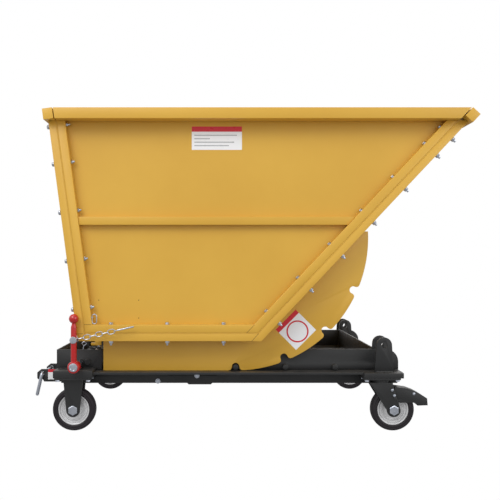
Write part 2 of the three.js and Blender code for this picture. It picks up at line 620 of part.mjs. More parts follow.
// ---------------------------------------------------------------- latch and lever
function buildLever() {
  const y = -LEVER_Y;
  const outer = y - LEVER_ROD;
  const top = SHAFT_Z + LEVER_LENGTH;
  const armTop = top - KNOB_RADIUS + BITE;
  const hub = rodY(SHAFT_X, SHAFT_Z, LEVER_HUB_RADIUS, -LEVER_HUB_INNER_Y, outer, 32);
  const arm = rodZ(SHAFT_X, y, LEVER_ROD, SHAFT_Z + (SHAFT_RADIUS + LEVER_HUB_RADIUS) / 2, armTop, 24);
  const boltZ = SHAFT_Z + CHAIN_BOLT_HEIGHT;
  const bore = rodY(SHAFT_X, SHAFT_Z, SHAFT_RADIUS + SHAFT_FIT,
    -LEVER_HUB_INNER_Y + OVERCUT, outer - OVERCUT);
  const bolt = rodY(SHAFT_X, boltZ, CHAIN_BOLT_RADIUS, outer + CHAIN_BOLT_ROOT, outer - CAP_THICK, 24);
  piece('lever_arm', join(cut(join(hub, arm), bore), bolt), 'red');
  const knob = ball([SHAFT_X, y, top], KNOB_RADIUS, 18);
  const seat = rodZ(SHAFT_X, y, LEVER_ROD + GAP, top - KNOB_RADIUS - OVERCUT, armTop + GAP, 24);
  piece('lever_knob', cut(knob, seat), 'red');
  const shaft = rodY(SHAFT_X, SHAFT_Z, SHAFT_RADIUS, -CAP_START_Y - BITE, SHAFT_END_Y);
  const cap = rodY(SHAFT_X, SHAFT_Z, CAP_RADIUS, -CAP_START_Y, -CAP_START_Y - CAP_THICK, 32);
  piece('latch_shaft', join(shaft, cap), 'zinc');
}

function buildLatch() {
  const half = HOOK_THICK / 2;
  const noseX = CATCH_FRONT_X - CATCH_WIDTH - CATCH_TOOTH - LATCH_CLEARANCE;
  const noseZ = CATCH_BOTTOM_Z + CATCH_TOOTH_HEIGHT;
  const finger = plate([
    [SHAFT_X - FINGER_ROOT_X, SHAFT_Z + FINGER_ROOT_Z],
    [SHAFT_X - FINGER_ROOT_X, SHAFT_Z - FINGER_ROOT_Z],
    ...NOSE_OUTLINE.map(([x, z]) => [noseX + x, noseZ + z]),
  ], -half, half);
  const ring = rodY(SHAFT_X, SHAFT_Z, HOOK_RING, -half, half);
  const eye = rodY(SHAFT_X, SHAFT_Z, SHAFT_RADIUS + SHAFT_FIT, -half - OVERCUT, half + OVERCUT);
  piece('latch_hook', cut(join(ring, finger), eye), 'zinc');

  const rear = CATCH_FRONT_X - CATCH_WIDTH;
  const toothTop = CATCH_BOTTOM_Z + CATCH_TOOTH_HEIGHT;
  const roof = FLOOR_Z - SHEET - GAP;
  piece('catch_plate', plate([
    [CATCH_FRONT_X, roof],
    [rear, roof],
    [rear, toothTop],
    [rear - CATCH_TOOTH, toothTop],
    [rear - CATCH_TOOTH, CATCH_BOTTOM_Z],
    [CATCH_FRONT_X, CATCH_BOTTOM_Z],
  ], -CATCH_THICK / 2, CATCH_THICK / 2), 'yellow');

  class Helix extends THREE.Curve {
    getPoint(t, target = new THREE.Vector3()) {
      const turn = t * SPRING_TURNS * 2 * Math.PI;
      return target.set(SHAFT_X + SPRING_RADIUS * Math.cos(turn),
        half + SPRING_WIRE + SPRING_GAP + t * SPRING_TURNS * SPRING_PITCH,
        SHAFT_Z + SPRING_RADIUS * Math.sin(turn));
    }
  }
  const wire = new THREE.Shape().absarc(0, 0, SPRING_WIRE, 0, 2 * Math.PI, false);
  piece('latch_spring', new THREE.ExtrudeGeometry(wire, {
    steps: SPRING_TURNS * 10, curveSegments: 2, bevelEnabled: false, extrudePath: new Helix(),
  }), 'zinc');
}

// the chain's outer shape, and the straight pin at its far end
function buildChain() {
  const along = [Math.cos(CHAIN_RISE), Math.sin(CHAIN_RISE)];
  const boltZ = SHAFT_Z + CHAIN_BOLT_HEIGHT;
  const at = (distance) => [SHAFT_X + along[0] * distance, -LEVER_Y, boltZ + along[1] * distance];
  const start = CHAIN_BOLT_RADIUS + GAP * 2;
  piece('safety_chain', bar(at(start), at(CHAIN_LENGTH), CHAIN_HALF, 8), 'zinc');
  piece('chain_pin', bar(at(CHAIN_LENGTH + GAP), at(CHAIN_LENGTH + CHAIN_PIN_LENGTH),
    CHAIN_PIN_RADIUS, 10), 'zinc');
}

// ---------------------------------------------------------------- casters
function buildWheel(name, x, s) {
  const y = s * WHEEL_HALF_TRACK;
  const bore = AXLE_RADIUS + AXLE_FIT;
  const lip = RIM_RADIUS - RIM_LIP;
  const rimHalf = [
    [bore, HUB_HALF], [HUB_RADIUS, HUB_HALF], [HUB_RADIUS + 3, RIM_WEB], [lip - 3, RIM_WEB],
    [lip, RIM_RING_HALF], [RIM_RADIUS, RIM_RING_HALF],
  ];
  piece(`${name}_rim`, turned(mirrored(rimHalf), x, y, WHEEL_RADIUS), 'grey');
  const inner = RIM_RADIUS + GAP;
  const wide = TYRE_WIDTH / 2;
  const tyreHalf = [
    [inner, wide - 4], [inner + 5, wide], [WHEEL_RADIUS - 8, wide], [WHEEL_RADIUS - 2.5, wide - 5],
    [WHEEL_RADIUS, wide - 12],
  ];
  piece(`${name}_tyre`, turned(mirrored(tyreHalf), x, y, WHEEL_RADIUS), 'rubber');
}

function buildAxle(name, x, s) {
  const middle = s * WHEEL_HALF_TRACK;
  const reach = FORK_INNER + FORK_PLATE + GAP;
  const rod = rodY(x, WHEEL_RADIUS, AXLE_RADIUS, middle - reach - BITE, middle + reach + BITE, 20);
  const hex = (from, to) => {
    const geometry = new THREE.CylinderGeometry(
      AXLE_HEX / Math.sqrt(3), AXLE_HEX / Math.sqrt(3), Math.abs(to - from), 6);
    return geometry.translate(x, (from + to) / 2, WHEEL_RADIUS);
  };
  piece(`${name}_axle`, join(rod, hex(middle + reach, middle + reach + AXLE_HEAD),
    hex(middle - reach, middle - reach - AXLE_HEAD)), 'zinc');
}

// one leg of a caster fork: it narrows from the top to a round foot at the axle
function forkLeg(topX, topHalf, footX, topZ, yA, yB) {
  const shape = new THREE.Shape();
  shape.moveTo(topX + topHalf, topZ);
  shape.lineTo(topX - topHalf, topZ);
  shape.lineTo(footX - FORK_FOOT_RADIUS, WHEEL_RADIUS);
  shape.absarc(footX, WHEEL_RADIUS, FORK_FOOT_RADIUS, Math.PI, 2 * Math.PI, false);
  const hole = new THREE.Path();
  hole.absarc(footX, WHEEL_RADIUS, AXLE_RADIUS + AXLE_FIT, 0, 2 * Math.PI, true);
  shape.holes.push(hole);
  return plate(shape, yA, yB, 6);
}

function buildLegs(topX, topHalf, footX, topZ, s) {
  const middle = s * WHEEL_HALF_TRACK;
  const near = FORK_INNER;
  const far = FORK_INNER + FORK_PLATE;
  return [1, -1].map((e) => forkLeg(topX, topHalf, footX, topZ, middle + e * near, middle + e * far));
}

function casterPlate(x, s) {
  const middle = s * WHEEL_HALF_TRACK;
  return block(x - CASTER_PLATE_LENGTH / 2, x + CASTER_PLATE_LENGTH / 2,
    middle - CASTER_PLATE_WIDTH / 2, middle + CASTER_PLATE_WIDTH / 2,
    CASTER_PLATE_Z, CASTER_PLATE_Z + CASTER_PLATE);
}

function buildRigidCaster(side, s) {
  const name = `${side}_rear`;
  const legs = buildLegs(REAR_WHEEL_X, FORK_TOP_HALF - REAR_LEG_SET_IN, REAR_WHEEL_X,
    CASTER_PLATE_Z + BITE, s);
  piece(`${name}_fork`, join(casterPlate(REAR_WHEEL_X, s), ...legs), 'black');
  buildAxle(name, REAR_WHEEL_X, s);
  buildWheel(name, REAR_WHEEL_X, s);
}

function buildSwivelCaster(side, s) {
  const name = `${side}_front`;
  const y = s * WHEEL_HALF_TRACK;
  const wheelX = SWIVEL_X + SWIVEL_TRAIL;
  const raceLow = CASTER_PLATE_Z - RACE_HEIGHT;
  const forkTop = raceLow - GAP;
  const yokeTop = forkTop - RACE_HEIGHT;
  const yokeLow = yokeTop - YOKE_PLATE;
  const outer = FORK_INNER + FORK_PLATE;
  piece(`${name}_swivel_plate`, join(casterPlate(SWIVEL_X, s),
    rodZ(SWIVEL_X, y, RACE_RADIUS, raceLow, CASTER_PLATE_Z + BITE),
    rodZ(SWIVEL_X, y, KINGPIN_RADIUS, yokeLow - KINGPIN_NUT_HEIGHT - BITE, CASTER_PLATE_Z + BITE, 20),
    rodZ(SWIVEL_X, y, KINGPIN_NUT_RADIUS, yokeLow - KINGPIN_NUT_HEIGHT, yokeLow - GAP, 6)), 'black');
  const yoke = block(SWIVEL_X - FORK_TOP_HALF, SWIVEL_X + FORK_TOP_HALF, y - outer, y + outer,
    yokeLow, yokeTop);
  const race = rodZ(SWIVEL_X, y, RACE_RADIUS - RACE_STEP, yokeTop - BITE, forkTop);
  const legs = buildLegs(SWIVEL_X, FORK_TOP_HALF, wheelX, yokeLow + BITE, s);
  const bore = rodZ(SWIVEL_X, y, KINGPIN_RADIUS + GAP, yokeLow - OVERCUT, forkTop + OVERCUT, 20);
  const pivots = [1, -1].map((e) => rodY(SWIVEL_X + PEDAL_PIVOT_X, WHEEL_RADIUS + PEDAL_PIVOT_Z,
    PIVOT_RADIUS, y + e * (TYRE_WIDTH / 2 + PEDAL_GAP), y + e * (outer + PIVOT_PAST), 16));
  piece(`${name}_swivel_fork`, cut(join(yoke, race, ...legs, ...pivots), bore), 'black');
  buildAxle(name, wheelX, s);
  buildWheel(name, wheelX, s);
  buildPedal(name, s);
}

// the brake pedal straddles the tyre inside the fork: two cheeks and a bent tread between them
function buildPedal(name, s) {
  const y = s * WHEEL_HALF_TRACK;
  const around = ([clearance, degrees]) => [
    SWIVEL_X + SWIVEL_TRAIL + (WHEEL_RADIUS + clearance) * Math.sin(degrees * DEG),
    WHEEL_RADIUS + (WHEEL_RADIUS + clearance) * Math.cos(degrees * DEG),
  ];
  const top = PEDAL_TREAD.map(around);
  const cheek = [...top, ...PEDAL_CHEEK.map(around)];
  const tread = [...top, ...top.map(([x, z]) => [x - BITE, z - PEDAL_PLATE]).reverse()];
  const inner = TYRE_WIDTH / 2 + PEDAL_GAP;
  const outer = inner + PEDAL_PLATE;
  const cheeks = [1, -1].map((e) => plate(cheek, y + e * inner, y + e * outer));
  const pivot = [SWIVEL_X + PEDAL_PIVOT_X, WHEEL_RADIUS + PEDAL_PIVOT_Z];
  const hole = rodY(...pivot, PIVOT_RADIUS + GAP, y - outer - OVERCUT, y + outer + OVERCUT, 16);
  piece(`${name}_brake_pedal`, cut(join(...cheeks, plate(tread, y - outer, y + outer)), hole), 'black');
}

// ---------------------------------------------------------------- assembly
buildSheets();
buildRims();
for (const [side, s] of SIDES) {
  buildSide(side, s);
  buildRocker(side, s);
  buildForkTube(side, s);
  buildTrack(side, s);
  buildPinRack(side, s);
  buildLugs(side, s);
  buildKeeper(side, s);
  buildRigidCaster(side, s);
  buildSwivelCaster(side, s);
}
buildCrossPlate();
buildLatchBox();
buildLever();
buildLatch();
buildChain();
piece('roll_axis_button', rodY(0, AXIS_Z, BUTTON_RADIUS, INSIDE_WIDTH / 2 - GAP,
  INSIDE_WIDTH / 2 - GAP - BUTTON_THICK), 'zinc');

const bounds = new THREE.Box3().setFromObject(group, true);
group.position.x = -(bounds.min.x + bounds.max.x) / 2;

export default group;
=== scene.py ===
"""The tilting hopper on casters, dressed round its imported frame. Metres, +Z up, -Y towards the camera."""
import json
import math

import bmesh
import bpy
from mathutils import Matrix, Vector


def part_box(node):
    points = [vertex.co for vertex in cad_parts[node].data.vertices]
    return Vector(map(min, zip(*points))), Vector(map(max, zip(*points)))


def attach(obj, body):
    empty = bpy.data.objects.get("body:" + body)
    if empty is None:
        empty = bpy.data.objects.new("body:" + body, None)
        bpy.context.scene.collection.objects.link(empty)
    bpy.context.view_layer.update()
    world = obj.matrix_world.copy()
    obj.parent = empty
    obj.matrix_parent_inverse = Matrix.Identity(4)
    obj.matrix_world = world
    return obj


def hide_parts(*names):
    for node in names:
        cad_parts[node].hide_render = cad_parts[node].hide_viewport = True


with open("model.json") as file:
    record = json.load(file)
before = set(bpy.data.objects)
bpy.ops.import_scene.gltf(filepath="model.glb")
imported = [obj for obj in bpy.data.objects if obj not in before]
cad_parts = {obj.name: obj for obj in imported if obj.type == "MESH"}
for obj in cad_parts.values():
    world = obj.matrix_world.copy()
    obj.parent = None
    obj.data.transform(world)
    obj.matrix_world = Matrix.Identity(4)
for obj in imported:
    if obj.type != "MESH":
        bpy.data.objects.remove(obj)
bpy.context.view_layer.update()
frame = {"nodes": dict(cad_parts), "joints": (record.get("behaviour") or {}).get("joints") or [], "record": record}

MM = 0.001
SIDES = (("right", -1), ("left", 1))
JOINTS = {joint["name"]: joint for joint in frame["joints"]}


def joint_at(name):
    return Vector(JOINTS[name]["pos_m"])


# ------------------------------------------------------------------ node graphs
class Graph:
    """A short way to add nodes and join them in one tree."""

    def __init__(self, tree):
        self.tree = tree

    def node(self, kind, **settings):
        made = self.tree.nodes.new(kind)
        for name, value in settings.items():
            setattr(made, name, value)
        return made

    def join(self, source, target):
        self.tree.links.new(source, target)

    def math(self, operation, a, b):
        made = self.node("ShaderNodeMath", operation=operation)
        for socket, value in zip(made.inputs, (a, b)):
            self.put(value, socket)
        return made.outputs[0]

    def put(self, value, socket):
        if isinstance(value, bpy.types.NodeSocket):
            self.join(value, socket)
        else:
            socket.default_value = value

    def mix(self, factor, a, b):
        made = self.node("ShaderNodeMix", data_type="RGBA")
        self.put(factor, made.inputs["Factor"])
        self.put(a, made.inputs[6])
        self.put(b, made.inputs[7])
        return made.outputs[2]

    def noise(self, scale, detail=3.0, rough=0.5):
        made = self.node("ShaderNodeTexNoise")
        place = self.node("ShaderNodeTexCoord")
        self.join(place.outputs["Object"], made.inputs["Vector"])
        self.put(scale, made.inputs["Scale"])
        made.inputs["Detail"].default_value = detail
        made.inputs["Roughness"].default_value = rough
        return made.outputs["Fac"]

    def band(self, value, low, high, start=0.0, end=1.0):
        made = self.node("ShaderNodeMapRange", clamp=True)
        for socket, item in zip(made.inputs, (value, low, high, start, end)):
            self.put(item, socket)
        return made.outputs[0]


# ------------------------------------------------------------------ camera, light and floor
EYE = Vector((-0.1126, -2.933, 0.585))
FOCAL_PER_FRAME = 1.436  # focal length as a share of the frame's width
SENSOR = 36.0
SKY_GLOW = 0.78  # the surrounding light; the backdrop itself is white
FLOOR_GLOW = 0.4  # and what comes up from the floor
SHIFT_X = 0.0606  # lens shift as a share of the frame's width
SHIFT_Y = 0.026
AIM = (0, 0, 0.5)  # every softbox faces the middle of the hopper
SOFTBOXES = (  # name, place, size, watts
    ("key", (-2.2, -3.0, 3.4), (2.6, 2.0), 76),
    ("fill", (3.2, -2.6, 1.8), (2.4, 2.4), 34),
    ("top", (0, 0.4, 4.2), (3.4, 3.0), 50),
    ("rear", (0.6, 3.6, 2.6), (3.0, 2.0), 30),
)
FLOOR_SIZE = 60
FLOOR_DROP = 0.0005  # the floor lies this far under the tyres


def make_camera():
    data = bpy.data.cameras.new("camera")
    data.sensor_width = SENSOR
    data.lens = SENSOR * FOCAL_PER_FRAME
    data.shift_x = SHIFT_X
    data.shift_y = SHIFT_Y
    data.clip_end = 60
    camera = bpy.data.objects.new("camera", data)
    camera.location = EYE
    camera.rotation_euler = (math.radians(90), 0, 0)
    bpy.context.scene.collection.objects.link(camera)
    bpy.context.scene.camera = camera


def add_softbox(name, place, size, watts):
    data = bpy.data.lights.new(name, "AREA")
    data.shape = "RECTANGLE"
    data.size, data.size_y = size
    data.energy = watts
    lamp = bpy.data.objects.new(name, data)
    lamp.location = place
    lamp.rotation_euler = (Vector(AIM) - Vector(place)).to_track_quat("-Z", "Y").to_euler()
    bpy.context.scene.collection.objects.link(lamp)


def make_studio():
    world = bpy.data.worlds.new("studio")
    world.use_nodes = True
    graph = Graph(world.node_tree)
    seen = graph.node("ShaderNodeLightPath").outputs["Is Camera Ray"]
    strength = graph.band(seen, 0.0, 1.0, SKY_GLOW, 1.0)
    background = world.node_tree.nodes["Background"]
    background.inputs["Color"].default_value = (1.0, 1.0, 1.0, 1)
    graph.join(strength, background.inputs["Strength"])
    bpy.context.scene.world = world
    bpy.context.scene.view_settings.view_transform = "Standard"
    for softbox in SOFTBOXES:
        add_softbox(*softbox)
    bpy.ops.mesh.primitive_plane_add(size=FLOOR_SIZE, location=(0, 0, -FLOOR_DROP))
    floor = bpy.context.object
    floor.name = "studio_floor"
    material = bpy.data.materials.new("pale_floor")
    material.use_nodes = True
    shader = material.node_tree.nodes["Principled BSDF"]
    shader.inputs["Base Color"].default_value = (0, 0, 0, 1)
    shader.inputs["Roughness"].default_value = 1.0
    shader.inputs["Specular IOR Level"].default_value = 0.0
    shader.inputs["Emission Color"].default_value = (1, 1, 1, 1)
    graph = Graph(material.node_tree)
    seen = graph.node("ShaderNodeLightPath").outputs["Is Camera Ray"]
    graph.join(graph.band(seen, 0.0, 1.0, FLOOR_GLOW, 1.0), shader.inputs["Emission Strength"])
    floor.data.materials.append(material)


# ------------------------------------------------------------------ shared shader effects
def new_group(name, inputs, outputs):
    tree = bpy.data.node_groups.new(name, "ShaderNodeTree")
    for label, kind, default in inputs:
        socket = tree.interface.new_socket(label, in_out="INPUT", socket_type=kind)
        socket.default_value = default
    for label, kind in outputs:
        tree.interface.new_socket(label, in_out="OUTPUT", socket_type=kind)
    graph = Graph(tree)
    return graph, graph.node("NodeGroupInput").outputs, graph.node("NodeGroupOutput").inputs


FLOAT = "NodeSocketFloat"
COLOUR = "NodeSocketColor"


def make_coat_skin():
    """The orange-peel skin of sprayed paint: a height, and a slight change of gloss."""
    graph, given, out = new_group(
        "paint_skin",
        [("Grain", FLOAT, 700.0), ("Gloss Low", FLOAT, 0.38), ("Gloss High", FLOAT, 0.5)],
        [("Height", FLOAT), ("Roughness", FLOAT)])
    fine = graph.noise(given["Grain"], 2.0, 0.5)
    broad = graph.noise(graph.math("MULTIPLY", given["Grain"], 0.03), 4.0, 0.6)
    graph.join(graph.math("ADD", fine, graph.math("MULTIPLY", broad, 0.3)), out["Height"])
    graph.join(graph.band(broad, 0.3, 0.7, given["Gloss Low"], given["Gloss High"]), out["Roughness"])
    return graph.tree


def make_tone_drift():
    """Two close tones of one colour, drifting over the surface."""
    graph, given, out = new_group(
        "tone_drift",
        [("Tone A", COLOUR, (1, 1, 1, 1)), ("Tone B", COLOUR, (1, 1, 1, 1)), ("Size", FLOAT, 3.0)],
        [("Colour", COLOUR)])
    drift = graph.band(graph.noise(given["Size"], 4.0, 0.6), 0.35, 0.65)
    graph.join(graph.mix(drift, given["Tone A"], given["Tone B"]), out["Colour"])
    return graph.tree


def make_painted_highlight():
    """A mask of the outer edges, broken up, where a lighter colour is laid on as a painted highlight."""
    graph, given, out = new_group(
        "painted_highlight",
        [("Width", FLOAT, 0.0025), ("Amount", FLOAT, 0.5)],
        [("Mask", FLOAT)])
    rounded = graph.node("ShaderNodeBevel", samples=4)
    graph.join(given["Width"], rounded.inputs["Radius"])
    plain = graph.node("ShaderNodeNewGeometry")
    dot = graph.node("ShaderNodeVectorMath", operation="DOT_PRODUCT")
    graph.join(rounded.outputs["Normal"], dot.inputs[0])
    graph.join(plain.outputs["Normal"], dot.inputs[1])
    edge = graph.band(dot.outputs["Value"], 0.995, 0.86)
    broken = graph.band(graph.noise(120.0, 5.0, 0.7), 0.42, 0.62)
    # the edge mask, broken up and scaled: where the painted highlight goes
    edge_highlight = graph.math("MULTIPLY", edge, graph.math("MULTIPLY", broken, given["Amount"]))
    graph.join(edge_highlight, out["Mask"])
    return graph.tree


def make_dust_film():
    """Fine dust that lies on what faces up, and thins out in patches."""
    graph, given, out = new_group(
        "dust_film", [("Amount", FLOAT, 0.3)], [("Mask", FLOAT)])
    plain = graph.node("ShaderNodeNewGeometry")
    parts = graph.node("ShaderNodeSeparateXYZ")
    graph.join(plain.outputs["Normal"], parts.inputs[0])
    up = graph.band(parts.outputs["Z"], 0.3, 1.0)
    patch = graph.band(graph.noise(14.0, 6.0, 0.65), 0.35, 0.75)
    graph.join(graph.math("MULTIPLY", graph.math("MULTIPLY", up, patch), given["Amount"]), out["Mask"])
    return graph.tree


SKIN = make_coat_skin()
DRIFT = make_tone_drift()
HIGHLIGHT_EDGES = make_painted_highlight()
DUST = make_dust_film()


class Finish(Graph):
    """One material: a Principled shader, and the shared effects wired into it."""

    def __init__(self, name, slot, **constants):
        self.material = bpy.data.materials.new(name)
        self.material.use_nodes = True
        super().__init__(self.material.node_tree)
        self.shader = self.tree.nodes["Principled BSDF"]
        self.slot = slot
        for socket, value in constants.items():
            self.shader.inputs[socket.replace("_", " ")].default_value = value

    def effect(self, tree, **values):
        made = self.node("ShaderNodeGroup", node_tree=tree)
        for socket, value in values.items():
            made.inputs[socket.replace("_", " ")].default_value = value
        return made.outputs

    def bump(self, height, distance):
        made = self.node("ShaderNodeBump")
        made.inputs["Distance"].default_value = distance
        made.inputs["Strength"].default_value = 1.0
        self.join(height, made.inputs["Height"])
        self.join(made.outputs["Normal"], self.shader.inputs["Normal"])


DUST_COLOUR = (0.5, 0.46, 0.4, 1)


def painted(name, slot, tone_a, tone_b, edge_highlight, dust, gloss=(0.36, 0.48), highlight_amount=0.35, grain=700.0,
            depth=0.00006, **constants):
    finish = Finish(name, slot, **constants)
    drift = finish.effect(DRIFT, Tone_A=tone_a, Tone_B=tone_b, Size=2.6)
    skin = finish.effect(SKIN, Grain=grain, Gloss_Low=gloss[0], Gloss_High=gloss[1])
    edges = finish.effect(HIGHLIGHT_EDGES, Amount=highlight_amount)
    film = finish.effect(DUST, Amount=dust)
    # the edges take a lighter colour through the edge mask: a painted highlight
    coat = finish.mix(edges["Mask"], drift["Colour"], edge_highlight)
    finish.join(finish.mix(film["Mask"], coat, DUST_COLOUR), finish.shader.inputs["Base Color"])
    finish.join(skin["Roughness"], finish.shader.inputs["Roughness"])
    finish.bump(skin["Height"], depth)
    return finish


def make_zinc(name, tone_a, tone_b, gloss):
    finish = Finish(name, "zinc", Metallic=1.0)
    drift = finish.effect(DRIFT, Tone_A=tone_a, Tone_B=tone_b, Size=60.0)
    skin = finish.effect(SKIN, Grain=1500.0, Gloss_Low=gloss[0], Gloss_High=gloss[1])
    edges = finish.effect(HIGHLIGHT_EDGES, Width=0.001, Amount=0.6)
    # the zinc's edges go near-white through the edge mask: a painted highlight
    bright = finish.mix(edges["Mask"], drift["Colour"], (0.95, 0.95, 0.95, 1))
    finish.join(bright, finish.shader.inputs["Base Color"])
    finish.join(skin["Roughness"], finish.shader.inputs["Roughness"])
    finish.bump(skin["Height"], 0.00003)
    return finish


# The third colour of each finish below is its painted highlight along the edges.
YELLOW = painted("yellow_powder_coat", "yellow_paint", (0.74, 0.43, 0.052, 1), (0.7, 0.395, 0.044, 1),
                 (0.86, 0.55, 0.14, 1), 0.05, Coat_Weight=0.12, Coat_Roughness=0.3)
BLACK = painted("black_powder_coat", "black_paint", (0.020, 0.0205, 0.0215, 1), (0.016, 0.0165, 0.017, 1),
                (0.11, 0.11, 0.11, 1), 0.10, gloss=(0.4, 0.55), highlight_amount=0.45, grain=900.0,
                depth=0.00009, Coat_Weight=0.05)
RED = painted("red_gloss_paint", "red_paint", (0.55, 0.003, 0.005, 1), (0.48, 0.003, 0.004, 1),
              (0.66, 0.02, 0.02, 1), 0.0, gloss=(0.2, 0.28), highlight_amount=0.2, Coat_Weight=0.6, Coat_Roughness=0.08)
WHEEL_GREY = painted("wheel_rim_grey", "wheel_rim", (0.78, 0.78, 0.79, 1), (0.7, 0.7, 0.71, 1),
                     (0.8, 0.8, 0.8, 1), 0.04, gloss=(0.3, 0.42), grain=1100.0, Metallic=0.25)
RUBBER = painted("tyre_rubber", "tyre", (0.009, 0.005, 0.009, 1), (0.007, 0.004, 0.007, 1),
                 (0.05, 0.045, 0.05, 1), 0.12, gloss=(0.55, 0.75), grain=1600.0, depth=0.00008)
ZINC = make_zinc("bright_zinc_plate", (0.62, 0.65, 0.72, 1), (0.52, 0.56, 0.64, 1), (0.22, 0.36))
# a dark yellow-brown for painted shadow: in the tube joints and in the small holes of the side
PAINTED_SHADOW = painted("yellow_seam_shadow", "yellow_paint", (0.2, 0.09, 0.008, 1), (0.16, 0.07, 0.006, 1),
               (0.3, 0.15, 0.03, 1), 0.0, gloss=(0.6, 0.7))
# near-black painted shade for the slot along each fork tube
SLOT_SHADE_FINISH = painted("shaded_slot", "black_paint", (0.006, 0.006, 0.006, 1), (0.01, 0.01, 0.01, 1),
                    (0.03, 0.03, 0.03, 1), 0.0, gloss=(0.6, 0.8))
LABEL_WHITE = painted("label_film_white", "wheel_rim", (0.95, 0.96, 0.97, 1), (0.92, 0.93, 0.95, 1),
                      (0.9, 0.9, 0.9, 1), 0.0, gloss=(0.25, 0.35), highlight_amount=0.1, grain=1800.0, depth=0.00002)
LABEL_RED = painted("label_film_red", "red_paint", (0.72, 0.02, 0.04, 1), (0.66, 0.015, 0.03, 1),
                    (0.8, 0.2, 0.2, 1), 0.0, gloss=(0.25, 0.35), highlight_amount=0.1, grain=1800.0, depth=0.00002)
LABEL_GREY = painted("label_film_grey", "wheel_rim", (0.42, 0.43, 0.44, 1), (0.38, 0.39, 0.4, 1),
                     (0.5, 0.5, 0.5, 1), 0.0, gloss=(0.25, 0.35), highlight_amount=0.1, grain=1800.0, depth=0.00002)


# ------------------------------------------------------------------ mesh work
def put(name, bm, finish, body, replaces=(), sharp=35):
    """Turns a bmesh into a finished piece that rides on a body."""
    bmesh.ops.recalc_face_normals(bm, faces=bm.faces)
    limit = math.radians(sharp)
    for face in bm.faces:
        face.smooth = True
    for edge in bm.edges:
        edge.smooth = len(edge.link_faces) == 2 and edge.calc_face_angle(0) < limit
    mesh = bpy.data.meshes.new(name)
    bm.to_mesh(mesh)
    bm.free()
    mesh.materials.append(finish.material)
    piece = bpy.data.objects.new(name, mesh)
    bpy.context.scene.collection.objects.link(piece)
    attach(piece, body)
    if replaces:
        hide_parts(*replaces)
    return piece


def soften(bm, width, segments=2, angle=38):
    """Rounds every edge that turns more than the angle."""
    limit = math.radians(angle)
    edges = [e for e in bm.edges if len(e.link_faces) == 2 and e.calc_face_angle(0) > limit]
    if edges:
        bmesh.ops.bevel(bm, geom=edges, offset=width, offset_type="OFFSET", segments=segments,
                        profile=0.5, affect="EDGES", clamp_overlap=True)


def body_of_node(node):
    return next(body for body, names in frame["record"]["behaviour"]["bodies"].items() if node in names)


def dress(node, finish, width=1.0, segments=2):
    """A node's own solid with cleaned faces and softened edges."""
    bm = bmesh.new()
    bm.from_mesh(frame["nodes"][node].data)
    bmesh.ops.remove_doubles(bm, verts=bm.verts, dist=0.02 * MM)
    bmesh.ops.dissolve_limit(bm, angle_limit=math.radians(0.5), verts=bm.verts, edges=bm.edges)
    soften(bm, width * MM, segments)
    return put(f"{node}_finished", bm, finish, body_of_node(node), [node])


def cross_axes(axis):
    """The axis made a unit, and two more square to it; the first of them points up where it can."""
    axis = Vector(axis).normalized()
    guide = Vector((1, 0, 0)) if abs(axis.z) > 0.7 else Vector((0, 0, 1))
    side = (guide - axis * guide.dot(axis)).normalized()
    return axis, side, axis.cross(side)


DOME_STEPS = 4
DOME_SHARE = 0.96  # a dome stops just short of its pole, with a small flat


def sweep(bm, points, radius, sides=12, closed=False, domed=False):
    """A round rod along points, with flat or domed ends unless it closes on itself."""
    points = [Vector(p) for p in points]
    radii = [radius] * len(points)
    if domed:
        for end, other in ((0, 1), (-1, -2)):
            tip, out = points[end], (points[end] - points[other]).normalized()
            turns = [math.pi / 2 * DOME_SHARE * k / DOME_STEPS for k in range(1, DOME_STEPS + 1)]
            places = [tip + out * radius * math.sin(t) for t in turns]
            sizes = [radius * math.cos(t) for t in turns]
            if end == 0:
                points, radii = places[::-1] + points, sizes[::-1] + radii
            else:
                points, radii = points + places, radii + sizes
    count = len(points)
    rings = []
    side = None
    for k, point in enumerate(points):
        before = points[k - 1] if closed or k else points[k]
        after = points[(k + 1) % count] if closed or k < count - 1 else points[k]
        along = (after - before).normalized()
        if side is None:
            side = along.orthogonal().normalized()
        side = (side - along * side.dot(along)).normalized()
        up = along.cross(side)
        ring = []
        for j in range(sides):
            turn = 2 * math.pi * j / sides
            ring.append(bm.verts.new(point + (side * math.cos(turn) + up * math.sin(turn)) * radii[k]))
        rings.append(ring)
    pairs = list(zip(rings, rings[1:]))
    if closed:
        first = min(range(sides), key=lambda j: (rings[0][j].co - rings[-1][0].co).length)
        pairs.append((rings[-1], rings[0][first:] + rings[0][:first]))
    for a, b in pairs:
        for j in range(sides):
            bm.faces.new((a[j], a[(j + 1) % sides], b[(j + 1) % sides], b[j]))
    if not closed:
        bm.faces.new(rings[0][::-1])
        bm.faces.new(rings[-1])


def turned(bm, profile, place, axis, sides=64):
    """A turned solid: [radius, height] points that close on themselves or end on the axis."""
    axis, side, up = cross_axes(axis)
    place = Vector(place)
    rings = []
    for radius, height in profile:
        centre = place + axis * height
        if radius < 1e-7:
            rings.append([bm.verts.new(centre)])
            continue
        turns = [2 * math.pi * j / sides for j in range(sides)]
        rings.append([bm.verts.new(centre + (side * math.cos(t) + up * math.sin(t)) * radius) for t in turns])
    pairs = list(zip(rings, rings[1:]))
    if len(rings[0]) > 1:
        pairs.append((rings[-1], rings[0]))
    for a, b in pairs:
        for j in range(sides):
            i = (j + 1) % sides
            corners = [a[j % len(a)], a[i % len(a)], b[i % len(b)], b[j % len(b)]]
            corners = list(dict.fromkeys(corners))
            if len(corners) > 2:
                bm.faces.new(corners)


def disc(radius, height):
    """The profile of a plain round plate or rod."""
    return [(0, 0), (radius, 0), (radius, height), (0, height)]


